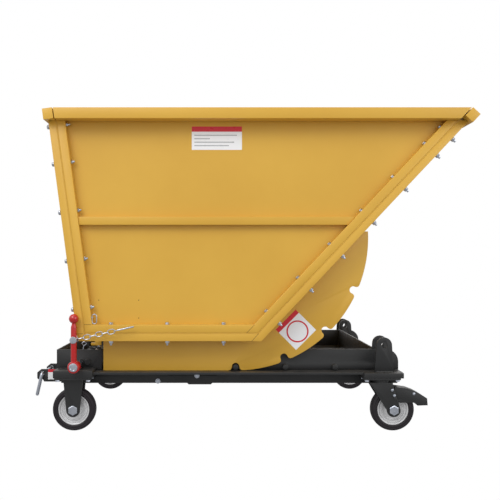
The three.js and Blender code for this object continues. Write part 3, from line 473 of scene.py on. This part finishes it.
def hexagon(bm, place, axis, across, height, turn=0.0, chamfer=0.12):
    """A hexagon head or nut: six flats, with its outer corners turned off."""
    axis, side, up = cross_axes(axis)
    radius = across / math.sqrt(3)
    rings = []
    for level, share in ((0, 1 - chamfer / 2), (height * chamfer, 1), (height * (1 - chamfer * 1.5), 1),
                         (height, 1 - chamfer)):
        ring = []
        for k in range(6):
            t = turn + k * math.pi / 3
            ring.append(bm.verts.new(Vector(place) + axis * level
                                     + (side * math.cos(t) + up * math.sin(t)) * radius * share))
        rings.append(ring)
    for a, b in zip(rings, rings[1:]):
        for j in range(6):
            bm.faces.new((a[j], a[(j + 1) % 6], b[(j + 1) % 6], b[j]))
    bm.faces.new(rings[0][::-1])
    bm.faces.new(rings[-1])


def slab(bm, outline, step):
    """A flat plate: an outline of 3-D points at one face, and the step to the other face."""
    step = Vector(step)
    low = [bm.verts.new(Vector(p)) for p in outline]
    high = [bm.verts.new(Vector(p) + step) for p in outline]
    bm.faces.new(low[::-1])
    bm.faces.new(high)
    count = len(outline)
    for j in range(count):
        i = (j + 1) % count
        bm.faces.new((low[j], low[i], high[i], high[j]))


# ------------------------------------------------------------------ hopper
HOPPER_SHEETS = ("rear_sheet", "front_sheet", "floor_sheet", "right_side_sheet", "left_side_sheet")
HOPPER_BARS = ("rear_rim", "front_rim", "right_rim", "left_rim", "right_side_frame", "left_side_frame",
               "right_wrap_frame", "left_wrap_frame", "right_middle_rib", "left_middle_rib")


def dress_hopper():
    for node in HOPPER_SHEETS:
        dress(node, YELLOW, 0.6, 1)
    for node in HOPPER_BARS:
        dress(node, YELLOW, 0.6 if node.endswith("_rim") else 1.8, 3)
    for side, _ in SIDES:
        dress(f"{side}_rocker", YELLOW, 1.2, 2)
    dress("catch_plate", YELLOW, 1.0, 2)


BOLT_SIZE = 13 * MM  # across the flats of an M8 head
FRAME_TUBE = 28.6 * MM
SHEET_EDGE = 3 * MM
SEAM_WIDTH = 1.4 * MM
SEAM_LIFT = 0.12 * MM
WASHER = 1.6 * MM
# Bolts along each tube, from its foot: the first, the step, how many, and one more near the rim.
REAR_BOLTS = (0.084, 0.1685, 4, 0.719)
FRONT_BOLTS = (0.0735, 0.159, 6, 0.9455)
FLOOR_BOLTS = (0.0905, 0.194, 3)


def bolt_row(first, step, count, last=None):
    """Distances of a row of bolts along their tube."""
    row = [first + k * step for k in range(count)]
    return row if last is None else row + [last]


def add_frame_bolt(bm, point, out, tube):
    """A long bolt through both tubes: the nut and the thread's end outwards, the head the other way."""
    washer = disc(8.4 * MM, WASHER)
    nut, head = point + out * tube, point - out * tube
    turned(bm, washer, nut, out, 20)
    hexagon(bm, nut + out * WASHER, out, BOLT_SIZE, 6.6 * MM, 0.3)
    thread = [(0, 0), (4 * MM, 0), (4 * MM, 6 * MM), (3.2 * MM, 7.4 * MM), (0, 7.6 * MM)]
    turned(bm, thread, nut + out * 8.0 * MM, out, 16)
    turned(bm, washer, head, -out, 20)
    hexagon(bm, head - out * WASHER, -out, BOLT_SIZE, 5.4 * MM, 0.8)


class SideLines:
    """The seam between the two bent frames of a side, as its two corners and its directions."""

    def __init__(self):
        low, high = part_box("floor_sheet")
        rear_low, rear_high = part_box("rear_sheet")
        front_low, front_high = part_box("front_sheet")
        self.rear_foot, self.front_foot = Vector((low.x, 0, high.z)), Vector((high.x, 0, high.z))
        lean = rear_high.x - rear_low.x - SHEET_EDGE
        reach = front_high.x - front_low.x - SHEET_EDGE
        rise = rear_high.z - high.z
        self.rear_along = Vector((-lean, 0, rise)).normalized()
        self.front_along = Vector((reach, 0, rise)).normalized()
        self.rear_out = Vector((-self.rear_along.z, 0, self.rear_along.x))
        self.front_out = Vector((self.front_along.z, 0, -self.front_along.x))

    def corner(self, foot, along, out, offset):
        """Where a side's line and the floor's line meet when both are moved out by an offset."""
        start = foot + out * offset
        return start + along * ((foot.z - offset - start.z) / along.z)


def make_frame_bolts():
    lines = SideLines()
    low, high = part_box("right_side_frame")
    middle = abs((low.y + high.y) / 2)
    rear, front = lines.rear_foot, lines.front_foot
    rows = {
        "rear": ([rear + lines.rear_along * d for d in bolt_row(*REAR_BOLTS)], -lines.rear_out),
        "floor": ([rear + Vector((d, 0, 0)) for d in bolt_row(*FLOOR_BOLTS)], Vector((0, 0, -1))),
        "front": ([front + lines.front_along * d for d in bolt_row(*FRONT_BOLTS)], lines.front_out),
    }
    for side, s in SIDES:
        for row, (points, out) in rows.items():
            bm = bmesh.new()
            for point in points:
                add_frame_bolt(bm, point + Vector((0, s * middle, 0)), out, FRAME_TUBE)
            put(f"{side}_{row}_frame_bolts", bm, ZINC, "hopper")


def seam_strip(bm, start, end, y, out_sign):
    """A hair of shadow where two tubes meet."""
    start, end = Vector(start), Vector(end)
    side = (end - start).normalized().cross(Vector((0, 1, 0))) * SEAM_WIDTH / 2
    outline = [Vector((p.x, y, p.z)) for p in (start - side, start + side, end + side, end - side)]
    slab(bm, outline, (0, out_sign * SEAM_LIFT, 0))


def make_frame_seam_shadows():
    """Strips of painted shadow on the joints at the two lower corners, where the floor tubes meet the sloping and
    the rear ones.
    """
    lines = SideLines()
    for side, s in SIDES:
        face = abs(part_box(f"{side}_side_frame")[0 if s < 0 else 1].y)
        bm = bmesh.new()
        for inner, outer in ((-FRAME_TUBE, 0), (SHEET_EDGE, FRAME_TUBE)):
            front = lines.corner(lines.front_foot, lines.front_along, lines.front_out, inner)
            drop = (outer - inner) / lines.front_along.z
            seam_strip(bm, front, front - lines.front_along * drop, s * face, s)
            rear = lines.corner(lines.rear_foot, lines.rear_along, lines.rear_out, inner)
            far = lines.corner(lines.rear_foot, lines.rear_along, lines.rear_out, outer)
            seam_strip(bm, rear, Vector((far.x, 0, rear.z)), s * face, s)
        put(f"{side}_frame_seam_shadows", bm, PAINTED_SHADOW, "hopper")


RING_EDGE_X = -0.5543  # the ring hangs just past the rear tube's inner edge
RING_CENTRE = Vector((RING_EDGE_X + 10.4 * MM, -0.463, 0.392))
RING_WIRE = 2 * MM
STAPLE_STEPS = 12
SIDE_HOLES = ((-0.532, 0.456), (-0.3935, 0.456), (-0.3935, 0.394))


def make_side_fittings():
    """The oblong ring that the chain's pin is kept in, its staple, and three dark discs of painted shadow for
    three small holes.
    """
    bm = bmesh.new()
    ring = stadium(RING_CENTRE, Vector((0, 0, 1)), Vector((1, 0, 0)), 37 * MM, 19.6 * MM, RING_WIRE)
    sweep(bm, ring, RING_WIRE, 12, True)
    put("chain_ring", bm, ZINC, "hopper")
    bm = bmesh.new()
    staple = []
    for k in range(STAPLE_STEPS + 1):
        t = math.pi * k / STAPLE_STEPS
        staple.append(Vector((RING_EDGE_X - 1 * MM + 8.4 * MM * math.sin(t),
                              RING_CENTRE.y + 5.4 * MM * math.cos(t), RING_CENTRE.z + 6 * MM)))
    sweep(bm, staple, 1.4 * MM, 10)
    put("chain_ring_staple", bm, ZINC, "hopper")
    bm = bmesh.new()
    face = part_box("right_side_sheet")[0].y
    # flat discs of painted shadow where the sheet has three small holes
    for x, z in SIDE_HOLES:
        turned(bm, disc(1.8 * MM, 0.15 * MM), (x, face, z), (0, -1, 0), 18)
    put("side_hole_shadows", bm, PAINTED_SHADOW, "hopper")


def stadium(centre, along, across, length, width, radius, steps=10):
    """The centre line of a long link: two half circles joined by straight sides."""
    bend = width / 2 - radius
    reach = length / 2 - radius - bend
    points = []
    for end, start in ((1, -math.pi / 2), (-1, math.pi / 2)):
        for k in range(steps + 1):
            t = start + math.pi * k / steps
            points.append(centre + along * (end * reach + bend * math.cos(t)) + across * bend * math.sin(t))
    return points


# ------------------------------------------------------------------ labels
RULE_HALF = 1.6 * MM
FILM = 0.25 * MM
TOWARDS = Vector((0, -1, 0))  # every label faces the near side


def place_label(name, centre, right, up, size, band, rules, body):
    """A blank film label: a white field, a red band along its top and plain rules below it."""
    def patch(suffix, x0, x1, y0, y1, finish, lift):
        bm = bmesh.new()
        outline = [centre + right * x + up * y + TOWARDS * (lift - 0.2) * MM
                   for x, y in ((x0, y0), (x1, y0), (x1, y1), (x0, y1))]
        slab(bm, outline, TOWARDS * FILM)
        put(f"{name}_{suffix}", bm, finish, body)

    w, h = size[0] / 2, size[1] / 2
    patch("field", -w, w, -h, h, LABEL_WHITE, 0.3)
    patch("band", -w, w, h - band, h, LABEL_RED, 0.5)
    for k, (x0, x1, y) in enumerate(rules):
        patch(f"rule_{k}", x0, x1, y - RULE_HALF, y + RULE_HALF, LABEL_GREY, 0.5)


RULE_START = -0.078
SIDE_RULES = [(RULE_START, 0.070, 0.010), (RULE_START, -0.024, -0.002),
              (RULE_START, 0.060, -0.014), (RULE_START, 0.042, -0.026)]


def make_labels():
    level, upright = Vector((1, 0, 0)), Vector((0, 0, 1))
    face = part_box("right_side_sheet")[0].y
    place_label("side_label", Vector((-0.1225, face, 1.018)), level, upright, (0.174, 0.081), 0.018,
                SIDE_RULES, "hopper")
    slant, lean = Vector((1, 0, 1)).normalized(), Vector((-1, 0, 1)).normalized()
    centre = Vector((0.1567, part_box("right_rocker")[0].y, 0.349))
    place_label("rocker_label", centre, slant, lean, (0.100, 0.102), 0.016, [], "hopper")
    bm = bmesh.new()
    ring = [(34 * MM, 0), (39 * MM, 0), (39 * MM, 0.4 * MM), (34 * MM, 0.4 * MM)]
    turned(bm, ring, centre - lean * 0.008 + TOWARDS * 0.4 * MM, TOWARDS, 64)
    put("rocker_label_ring", bm, LABEL_RED, "hopper")
    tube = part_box("right_fork_tube")[0].y
    centre = Vector((-0.7135, tube, 0.186))
    place_label("hook_label", centre, level, upright, (0.028, 0.036), 0.010, [], "base")


# ------------------------------------------------------------------ base
BASE_NODES = ("front_cross_plate", "latch_box", "right_fork_tube", "left_fork_tube", "right_track",
              "left_track", "right_pin_rack", "left_pin_rack", "right_outer_lug", "right_inner_lug",
              "left_outer_lug", "left_inner_lug")


def weld_bead(bm, start, end, radius=3.2 * MM, ripple=6.5 * MM):
    """A fillet weld: a row of overlapping ripples along a seam."""
    start, end = Vector(start), Vector(end)
    count = max(4, int((end - start).length / ripple * 4))
    points = [start.lerp(end, k / count) for k in range(count + 1)]
    first = len(bm.verts)
    sweep(bm, points, radius, 8)
    bm.verts.ensure_lookup_table()
    along = (end - start).normalized()
    for vert in bm.verts[first:]:
        t = (vert.co - start).dot(along)
        centre = start + along * t
        vert.co = centre + (vert.co - centre) * (0.86 + 0.14 * math.cos(2 * math.pi * t / ripple))


def make_welds():
    for side, s in SIDES:
        bm = bmesh.new()
        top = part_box(f"{side}_fork_tube")[1].z
        for place in ("outer", "inner"):
            lug_low, lug_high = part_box(f"{side}_{place}_lug")
            y = lug_low.y if s < 0 else lug_high.y
            weld_bead(bm, (lug_low.x + 4 * MM, y, top), (lug_high.x - 4 * MM, y, top))
        web_low, web_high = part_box(f"{side}_pin_rack")
        inner = web_high.y if s < 0 else web_low.y
        weld_bead(bm, (web_low.x + 10 * MM, inner, top), (web_high.x - 10 * MM, inner, top), 2.6 * MM)
        put(f"{side}_base_welds", bm, BLACK, "base")
    bm = bmesh.new()
    low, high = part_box("front_cross_plate")
    for x in (low.x, high.x):
        for s in (-1, 1):
            edge = abs(low.y) - 4 * MM
            weld_bead(bm, (x, s * edge, low.z), (x, s * (edge - 0.125), low.z))
    put("cross_plate_welds", bm, BLACK, "base")


BOX_WALL_Y = 0.369  # outer face of the latch box's end walls
GUSSET_FOOT = 0.036
GUSSET = 4 * MM
BOSS_PLACE = (-0.5835, -BOX_WALL_Y, 0.232)
EYE_STEPS = 18
EYE_SHARE = 0.92  # the wire's eye stays a little open


def make_box_gussets():
    low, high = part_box("latch_box")
    for side, s in SIDES:
        bm = bmesh.new()
        y, foot = s * (BOX_WALL_Y + 0.2 * MM), low.z + 1 * MM
        outline = [(high.x, y, high.z - 3 * MM), (high.x, y, foot), (high.x - GUSSET_FOOT, y, foot)]
        slab(bm, outline, (0, s * GUSSET, 0))
        soften(bm, 0.7 * MM, 1)
        put(f"{side}_box_gusset", bm, BLACK, "base")


def make_box_fittings():
    """A round boss on the near wall of the latch box, and a wire eye that stands up inside it."""
    bm = bmesh.new()
    boss = [(0, 0), (12 * MM, 0), (12 * MM, 5.4 * MM), (10.4 * MM, 7 * MM), (0, 7 * MM)]
    turned(bm, boss, BOSS_PLACE, (0, -1, 0), 32)
    put("shaft_boss", bm, BLACK, "base")
    bm = bmesh.new()
    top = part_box("latch_box")[1].z
    eye = Vector((-0.598, -BOX_WALL_Y + 8 * MM, 0.2965))
    wire = [Vector((eye.x - 4 * MM, eye.y, top - 20 * MM)), Vector((eye.x - 3 * MM, eye.y, top + 6 * MM))]
    for k in range(EYE_STEPS + 1):
        turn = -math.pi / 2 + 2 * math.pi * EYE_SHARE * k / EYE_STEPS
        wire.append(eye + Vector((7.5 * MM * math.cos(turn), 0, 6 * MM * math.sin(turn))))
    sweep(bm, wire, 1.5 * MM, 10)
    put("spring_eye", bm, ZINC, "base")


TUBE_BOLTS = ((-0.194, 0.1815), (-0.334, 0.1618))
SLOT_REAR_X, SLOT_FRONT_X, SLOT_Z = -0.300, -0.123, 0.1838
TAB_REAR_X, TAB_FRONT_X = -0.229, -0.139
TAB_TAPER = 5 * MM
TAB_DEPTH = 5.2 * MM
TAB_WIDTH = 0.029


def make_tube_fittings():
    """The painted shade of the slot along the fork tube's side, its two bolts and the tab below."""
    for side, s in SIDES:
        low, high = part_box(f"{side}_fork_tube")
        y = low.y if s < 0 else high.y
        out = Vector((0, s, 0))
        bm = bmesh.new()
        # a near-black film laid on the tube's face: painted shade for the slot
        sunk = y - s * 0.1 * MM
        outline = [(SLOT_REAR_X, sunk, SLOT_Z - 2.4 * MM), (SLOT_FRONT_X, sunk, SLOT_Z - 3.0 * MM),
                   (SLOT_FRONT_X, sunk, SLOT_Z + 1.0 * MM), (SLOT_REAR_X, sunk, SLOT_Z + 3.4 * MM)]
        slab(bm, outline, out * 0.5 * MM)
        put(f"{side}_tube_slot_shade", bm, SLOT_SHADE_FINISH, "base")
        bm = bmesh.new()
        for x, height in TUBE_BOLTS:
            turned(bm, disc(9 * MM, WASHER), (x, y, height), out, 24)
            hexagon(bm, Vector((x, y, height)) + out * WASHER, out, BOLT_SIZE, 5.4 * MM, 0.4)
        put(f"{side}_tube_bolts", bm, ZINC, "base")
        bm = bmesh.new()
        inner = y - s * (TAB_WIDTH + 1 * MM)
        top, foot = low.z - 0.2 * MM, low.z - TAB_DEPTH
        outline = [(TAB_REAR_X, inner, top), (TAB_FRONT_X, inner, top),
                   (TAB_FRONT_X - TAB_TAPER, inner, foot), (TAB_REAR_X + TAB_TAPER, inner, foot)]
        slab(bm, outline, out * TAB_WIDTH)
        soften(bm, 0.8 * MM, 2)
        put(f"{side}_tube_tab", bm, BLACK, "base")


KEEPER_ROD = 6 * MM  # radius
KEEPER_BEND = 9 * MM


def make_keepers():
    """Each keeper: a pin through the hooked plates, with its end bent down outside them."""
    for side, s in SIDES:
        low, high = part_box(f"{side}_keeper")
        pivot = joint_at(f"keeper_{side}_swing")
        outer, inner = low.y + KEEPER_ROD, high.y - KEEPER_ROD
        if s > 0:
            outer, inner = inner, outer
        route = [Vector((pivot.x, inner, pivot.z)), Vector((pivot.x, outer, pivot.z)),
                 Vector((low.x + KEEPER_ROD, outer, low.z + KEEPER_ROD))]
        bm = bmesh.new()
        sweep(bm, rounded_route(route, KEEPER_BEND), KEEPER_ROD, 20, domed=True)
        put(f"{side}_keeper_rod", bm, ZINC, f"keeper_{side}", [f"{side}_keeper"])


def rounded_route(corners, radius, steps=6):
    """A route through corners, with each inner corner rounded by a quadratic bend."""
    points = [corners[0]]
    for before, corner, after in zip(corners, corners[1:], corners[2:]):
        a = corner + (before - corner).normalized() * radius
        b = corner + (after - corner).normalized() * radius
        for k in range(steps + 1):
            t = k / steps
            points.append(a * (1 - t) ** 2 + corner * 2 * t * (1 - t) + b * t * t)
    points.append(corners[-1])
    return points


# ------------------------------------------------------------------ lever, latch and chain
BALL = 16.5 * MM
BALL_STEPS = 24
BALL_RISE = 0.165  # above the shaft
HUB_INNER_Y = -0.464
HUB_OUTER_Y = -0.4975
CAP_Y = -0.4978
CHAIN_BOLT_RISE = 0.093


def make_lever():
    """The red arm with its hub and ball, on the zinc shaft."""
    shaft = joint_at("release_lever")
    knob_low, knob_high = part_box("lever_knob")
    y = (knob_low.y + knob_high.y) / 2
    bm = bmesh.new()
    arm = [(0, 14 * MM), (9.6 * MM, 14 * MM), (9.9 * MM, 20 * MM), (9.9 * MM, BALL_RISE - 30 * MM),
           (9.2 * MM, BALL_RISE - 25 * MM), (7.4 * MM, BALL_RISE - 21 * MM),
           (6.9 * MM, BALL_RISE - 16 * MM), (0, BALL_RISE - 14 * MM)]
    turned(bm, arm, (shaft.x, y, shaft.z), (0, 0, 1), 40)
    inner, outer = HUB_INNER_Y - y, HUB_OUTER_Y - y
    hub = [(9.3 * MM, inner), (18.5 * MM, inner), (20.5 * MM, inner - 2 * MM), (20.5 * MM, outer + 3 * MM),
           (19.6 * MM, outer + 1 * MM), (17.8 * MM, outer), (9.3 * MM, outer)]
    turned(bm, hub, (shaft.x, y, shaft.z), (0, 1, 0), 64)
    put("lever_arm_finished", bm, RED, "latch", ["lever_arm"])
    bm = bmesh.new()
    turns = [math.pi * k / BALL_STEPS for k in range(1, BALL_STEPS)]
    sphere = [(0, -BALL)] + [(BALL * math.sin(t), -BALL * math.cos(t)) for t in turns] + [(0, BALL)]
    turned(bm, sphere, ((knob_low.x + knob_high.x) / 2, y, shaft.z + BALL_RISE), (0, 0, 1), 48)
    put("lever_knob_finished", bm, RED, "latch", ["lever_knob"])
    make_shaft(shaft)
    # The latch hook is zinc, but takes the black finish as painted shade, so it stays as dark as the inside of the
    # latch box.
    dress("latch_hook", BLACK, 0.8, 2)
    make_chain(Vector((shaft.x, y, shaft.z + CHAIN_BOLT_RISE)))
    make_spring(shaft)


def make_shaft(shaft):
    """The zinc shaft, with a dished cap over the lever's hub."""
    bm = bmesh.new()
    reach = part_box("latch_shaft")[1].y - CAP_Y
    cap = [(0, 0), (14.6 * MM, 0), (14.6 * MM, 3 * MM), (13.4 * MM, 4.6 * MM), (9.5 * MM, 5 * MM),
           (8.7 * MM, 4.4 * MM), (0, 4.4 * MM)]
    turned(bm, cap, (shaft.x, CAP_Y, shaft.z), (0, -1, 0), 48)
    rod = [(0, 0), (9 * MM, 0), (9 * MM, reach - 1.5 * MM), (7.6 * MM, reach), (0, reach)]
    turned(bm, rod, (shaft.x, CAP_Y, shaft.z), (0, 1, 0), 40)
    put("latch_shaft_finished", bm, ZINC, "latch", ["latch_shaft"])


CHAIN_SLOPE = math.radians(12.5)
LINKS = 7
LINK_WIRE = 1.75 * MM
LINK_LENGTH = 28.3 * MM
LINK_WIDTH = 18.6 * MM
LINK_STEP = 21.2 * MM
LINK_SAG = 0.5 * MM  # each link lies a little out of line
PIN_START = 0.146  # from the bolt along the chain
PIN_WIRE = 1.7 * MM


def make_chain(bolt):
    """Seven loose links from the lever's bolt, turned a quarter from one to the next, and a pin."""
    along = Vector((math.cos(CHAIN_SLOPE), 0, math.sin(CHAIN_SLOPE)))
    flat = Vector((-math.sin(CHAIN_SLOPE), 0, math.cos(CHAIN_SLOPE)))
    sideways = Vector((0, 1, 0))
    bm = bmesh.new()
    head = [(0, 0), (12.2 * MM, 0), (12.2 * MM, 2.6 * MM), (10.6 * MM, 4.6 * MM), (0, 5 * MM)]
    turned(bm, head, bolt - sideways * 10.2 * MM, -sideways, 40)
    hexagon(bm, bolt + sideways * 9.6 * MM, sideways, BOLT_SIZE, 4 * MM, 0.2)
    put("chain_bolt", bm, ZINC, "latch")
    first = bolt + along * (3.4 * MM)
    bm = bmesh.new()
    for k in range(LINKS):
        across = flat if k % 2 == 0 else sideways
        centre = first + along * LINK_STEP * k + Vector((0, 0, LINK_SAG * math.sin(k * 1.9)))
        link = stadium(centre, along, across, LINK_LENGTH, LINK_WIDTH, LINK_WIRE, 8)
        sweep(bm, link, LINK_WIRE, 10, True)
    put("safety_chain_links", bm, ZINC, "latch", ["safety_chain"])
    start = bolt + along * PIN_START
    bm = bmesh.new()
    sweep(bm, stadium(start, along, sideways, 15 * MM, 12 * MM, PIN_WIRE, 8), PIN_WIRE, 10, True)
    rod = [(0, 0), (2.4 * MM, 0), (2.9 * MM, 4 * MM), (2.9 * MM, 54 * MM), (1.6 * MM, 57.5 * MM),
           (0, 58 * MM)]
    turned(bm, rod, start + along * 6.2 * MM, along, 20)
    put("chain_pin_finished", bm, ZINC, "latch", ["chain_pin"])


SPRING_WIRE = 1.6 * MM
SPRING_RADIUS = 12.6 * MM
SPRING_TURNS = 5
STEPS_PER_TURN = 24


def make_spring(shaft):
    """The coil round the shaft."""
    low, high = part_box("latch_spring")
    count = SPRING_TURNS * STEPS_PER_TURN
    points = []
    for k in range(count + 1):
        t = 2 * math.pi * k / STEPS_PER_TURN
        y = low.y + SPRING_WIRE + (high.y - low.y - 2 * SPRING_WIRE) * k / count
        points.append(Vector((shaft.x + SPRING_RADIUS * math.cos(t), y,
                              shaft.z + SPRING_RADIUS * math.sin(t))))
    bm = bmesh.new()
    sweep(bm, points, SPRING_WIRE, 10)
    put("latch_spring_finished", bm, ZINC, "base", ["latch_spring"])


# ------------------------------------------------------------------ casters
WHEEL_RADIUS = 75 * MM
# Half profiles of the tyre and the rim in millimetres: radius, and place along the axle.
TYRE = ((54.3, -19), (55.5, -21), (58, -22.3), (62, -22.5), (62.8, -21.7), (64.2, -21.7), (65, -22.4),
        (68, -22.0), (71.5, -19.5), (73.6, -15.5), (74.7, -10), (75, -4))
RIM = ((6.3, 25), (14, 25), (19, 24.4), (20.5, 22), (22.5, 12), (24.5, 9.6), (29, 9.2), (35, 10.6),
       (36.4, 13.0), (38.0, 13.0), (38.8, 9.6), (40.6, 9.6), (41.6, 12.6), (45.6, 13.0),
       (46.4, 10.2), (48.2, 10.6), (49.6, 17.2), (51, 18), (53.4, 18), (54, 17.4))
AXLE_HEAD = 7 * MM
AXLE_HEX = 30 * MM
PLATE_UNDERSIDE = 181 * MM  # of every caster plate
PLATE_BOLT_X = 53 * MM
PLATE_BOLT_Y = 34 * MM
PLATE_WASHER = 1.5 * MM
# Rivets from the wheel's centre: along X, and up.
FORK_RIVETS = ((-0.006, 0.070), (0.0015, 0.051))
PEDAL_RIVETS = ((0.071, 0.056),)


def make_wheel(side, end, body):
    name = f"{side}_{end}"
    low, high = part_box(f"{name}_tyre")
    centre = (low + high) / 2
    centre.z = WHEEL_RADIUS
    for part, profile, finish, sharp in (("tyre", TYRE, RUBBER, 50), ("rim", RIM, WHEEL_GREY, 28)):
        half = [(r * MM, y * MM) for r, y in profile]
        bm = bmesh.new()
        turned(bm, half + [(r, -y) for r, y in reversed(half)], centre, (0, 1, 0), 96)
        put(f"{name}_{part}_finished", bm, finish, body, [f"{name}_{part}"], sharp)


def make_axle(side, end, body):
    name = f"{side}_{end}"
    low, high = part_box(f"{name}_axle")
    centre = (low + high) / 2
    centre.z = WHEEL_RADIUS
    shank = (high.y - low.y) / 2 - AXLE_HEAD
    bm = bmesh.new()
    turned(bm, [(0, -shank), (6 * MM, -shank), (6 * MM, shank), (0, shank)], centre, (0, 1, 0), 32)
    for s in (-1, 1):
        hexagon(bm, centre + Vector((0, s * shank, 0)), (0, s, 0), AXLE_HEX, AXLE_HEAD)
    put(f"{name}_axle_finished", bm, ZINC, body, [f"{name}_axle"], 20)


def plate_bolts(name, plate, body):
    """Four bolts through a caster plate into its mounting block."""
    low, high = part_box(plate)
    x_mid, y_mid = (low.x + high.x) / 2, (low.y + high.y) / 2
    down = Vector((0, 0, -1))
    bm = bmesh.new()
    for dx in (-PLATE_BOLT_X, PLATE_BOLT_X):
        for dy in (-PLATE_BOLT_Y, PLATE_BOLT_Y):
            place = Vector((x_mid + dx, y_mid + dy, PLATE_UNDERSIDE))
            turned(bm, disc(9 * MM, PLATE_WASHER), place, down, 20)
            hexagon(bm, place + down * PLATE_WASHER, down, BOLT_SIZE, 5 * MM, 0.5)
    put(name, bm, ZINC, body)


def make_fork_rivets(side):
    """Bright rivets: two on the swivel fork's cheek and one on the pedal's."""
    s = -1 if side == "right" else 1
    centre = joint_at(f"wheel_front_{side}_spin")
    rivet = [(0, 0), (5.2 * MM, 0), (4.4 * MM, 1.4 * MM), (2.4 * MM, 2.2 * MM), (0, 2.4 * MM)]
    for name, node, body, spots in (
            ("fork_rivets", f"{side}_front_swivel_fork", f"swivel_{side}", FORK_RIVETS),
            ("pedal_rivet", f"{side}_front_brake_pedal", f"brake_{side}", PEDAL_RIVETS)):
        low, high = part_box(node)
        face = low.y if s < 0 else high.y
        bm = bmesh.new()
        for x, z in spots:
            turned(bm, rivet, (centre.x + x, face, centre.z + z), (0, s, 0), 24)
        put(f"{side}_{name}", bm, ZINC, body)


def dress_casters():
    for side, _ in SIDES:
        dress(f"{side}_rear_fork", BLACK, 1.0, 2)
        dress(f"{side}_front_swivel_plate", BLACK, 0.8, 2)
        dress(f"{side}_front_swivel_fork", BLACK, 0.9, 2)
        dress(f"{side}_front_brake_pedal", BLACK, 0.7, 2)
        make_fork_rivets(side)
        make_wheel(side, "rear", f"wheel_rear_{side}")
        make_wheel(side, "front", f"wheel_front_{side}")
        make_axle(side, "rear", "base")
        make_axle(side, "front", f"swivel_{side}")
        plate_bolts(f"{side}_rear_caster_bolts", f"{side}_rear_fork", "base")
        plate_bolts(f"{side}_front_caster_bolts", f"{side}_front_swivel_plate", "base")


# ------------------------------------------------------------------ the whole object
make_camera()
make_studio()
dress_hopper()
make_frame_bolts()
make_frame_seam_shadows()
make_side_fittings()
make_labels()
for base_node in BASE_NODES:
    dress(base_node, BLACK, 1.3, 2)
make_welds()
make_box_gussets()
make_box_fittings()
make_tube_fittings()
make_keepers()
make_lever()
dress_casters()
dress("roll_axis_button", ZINC, 0.6, 2)
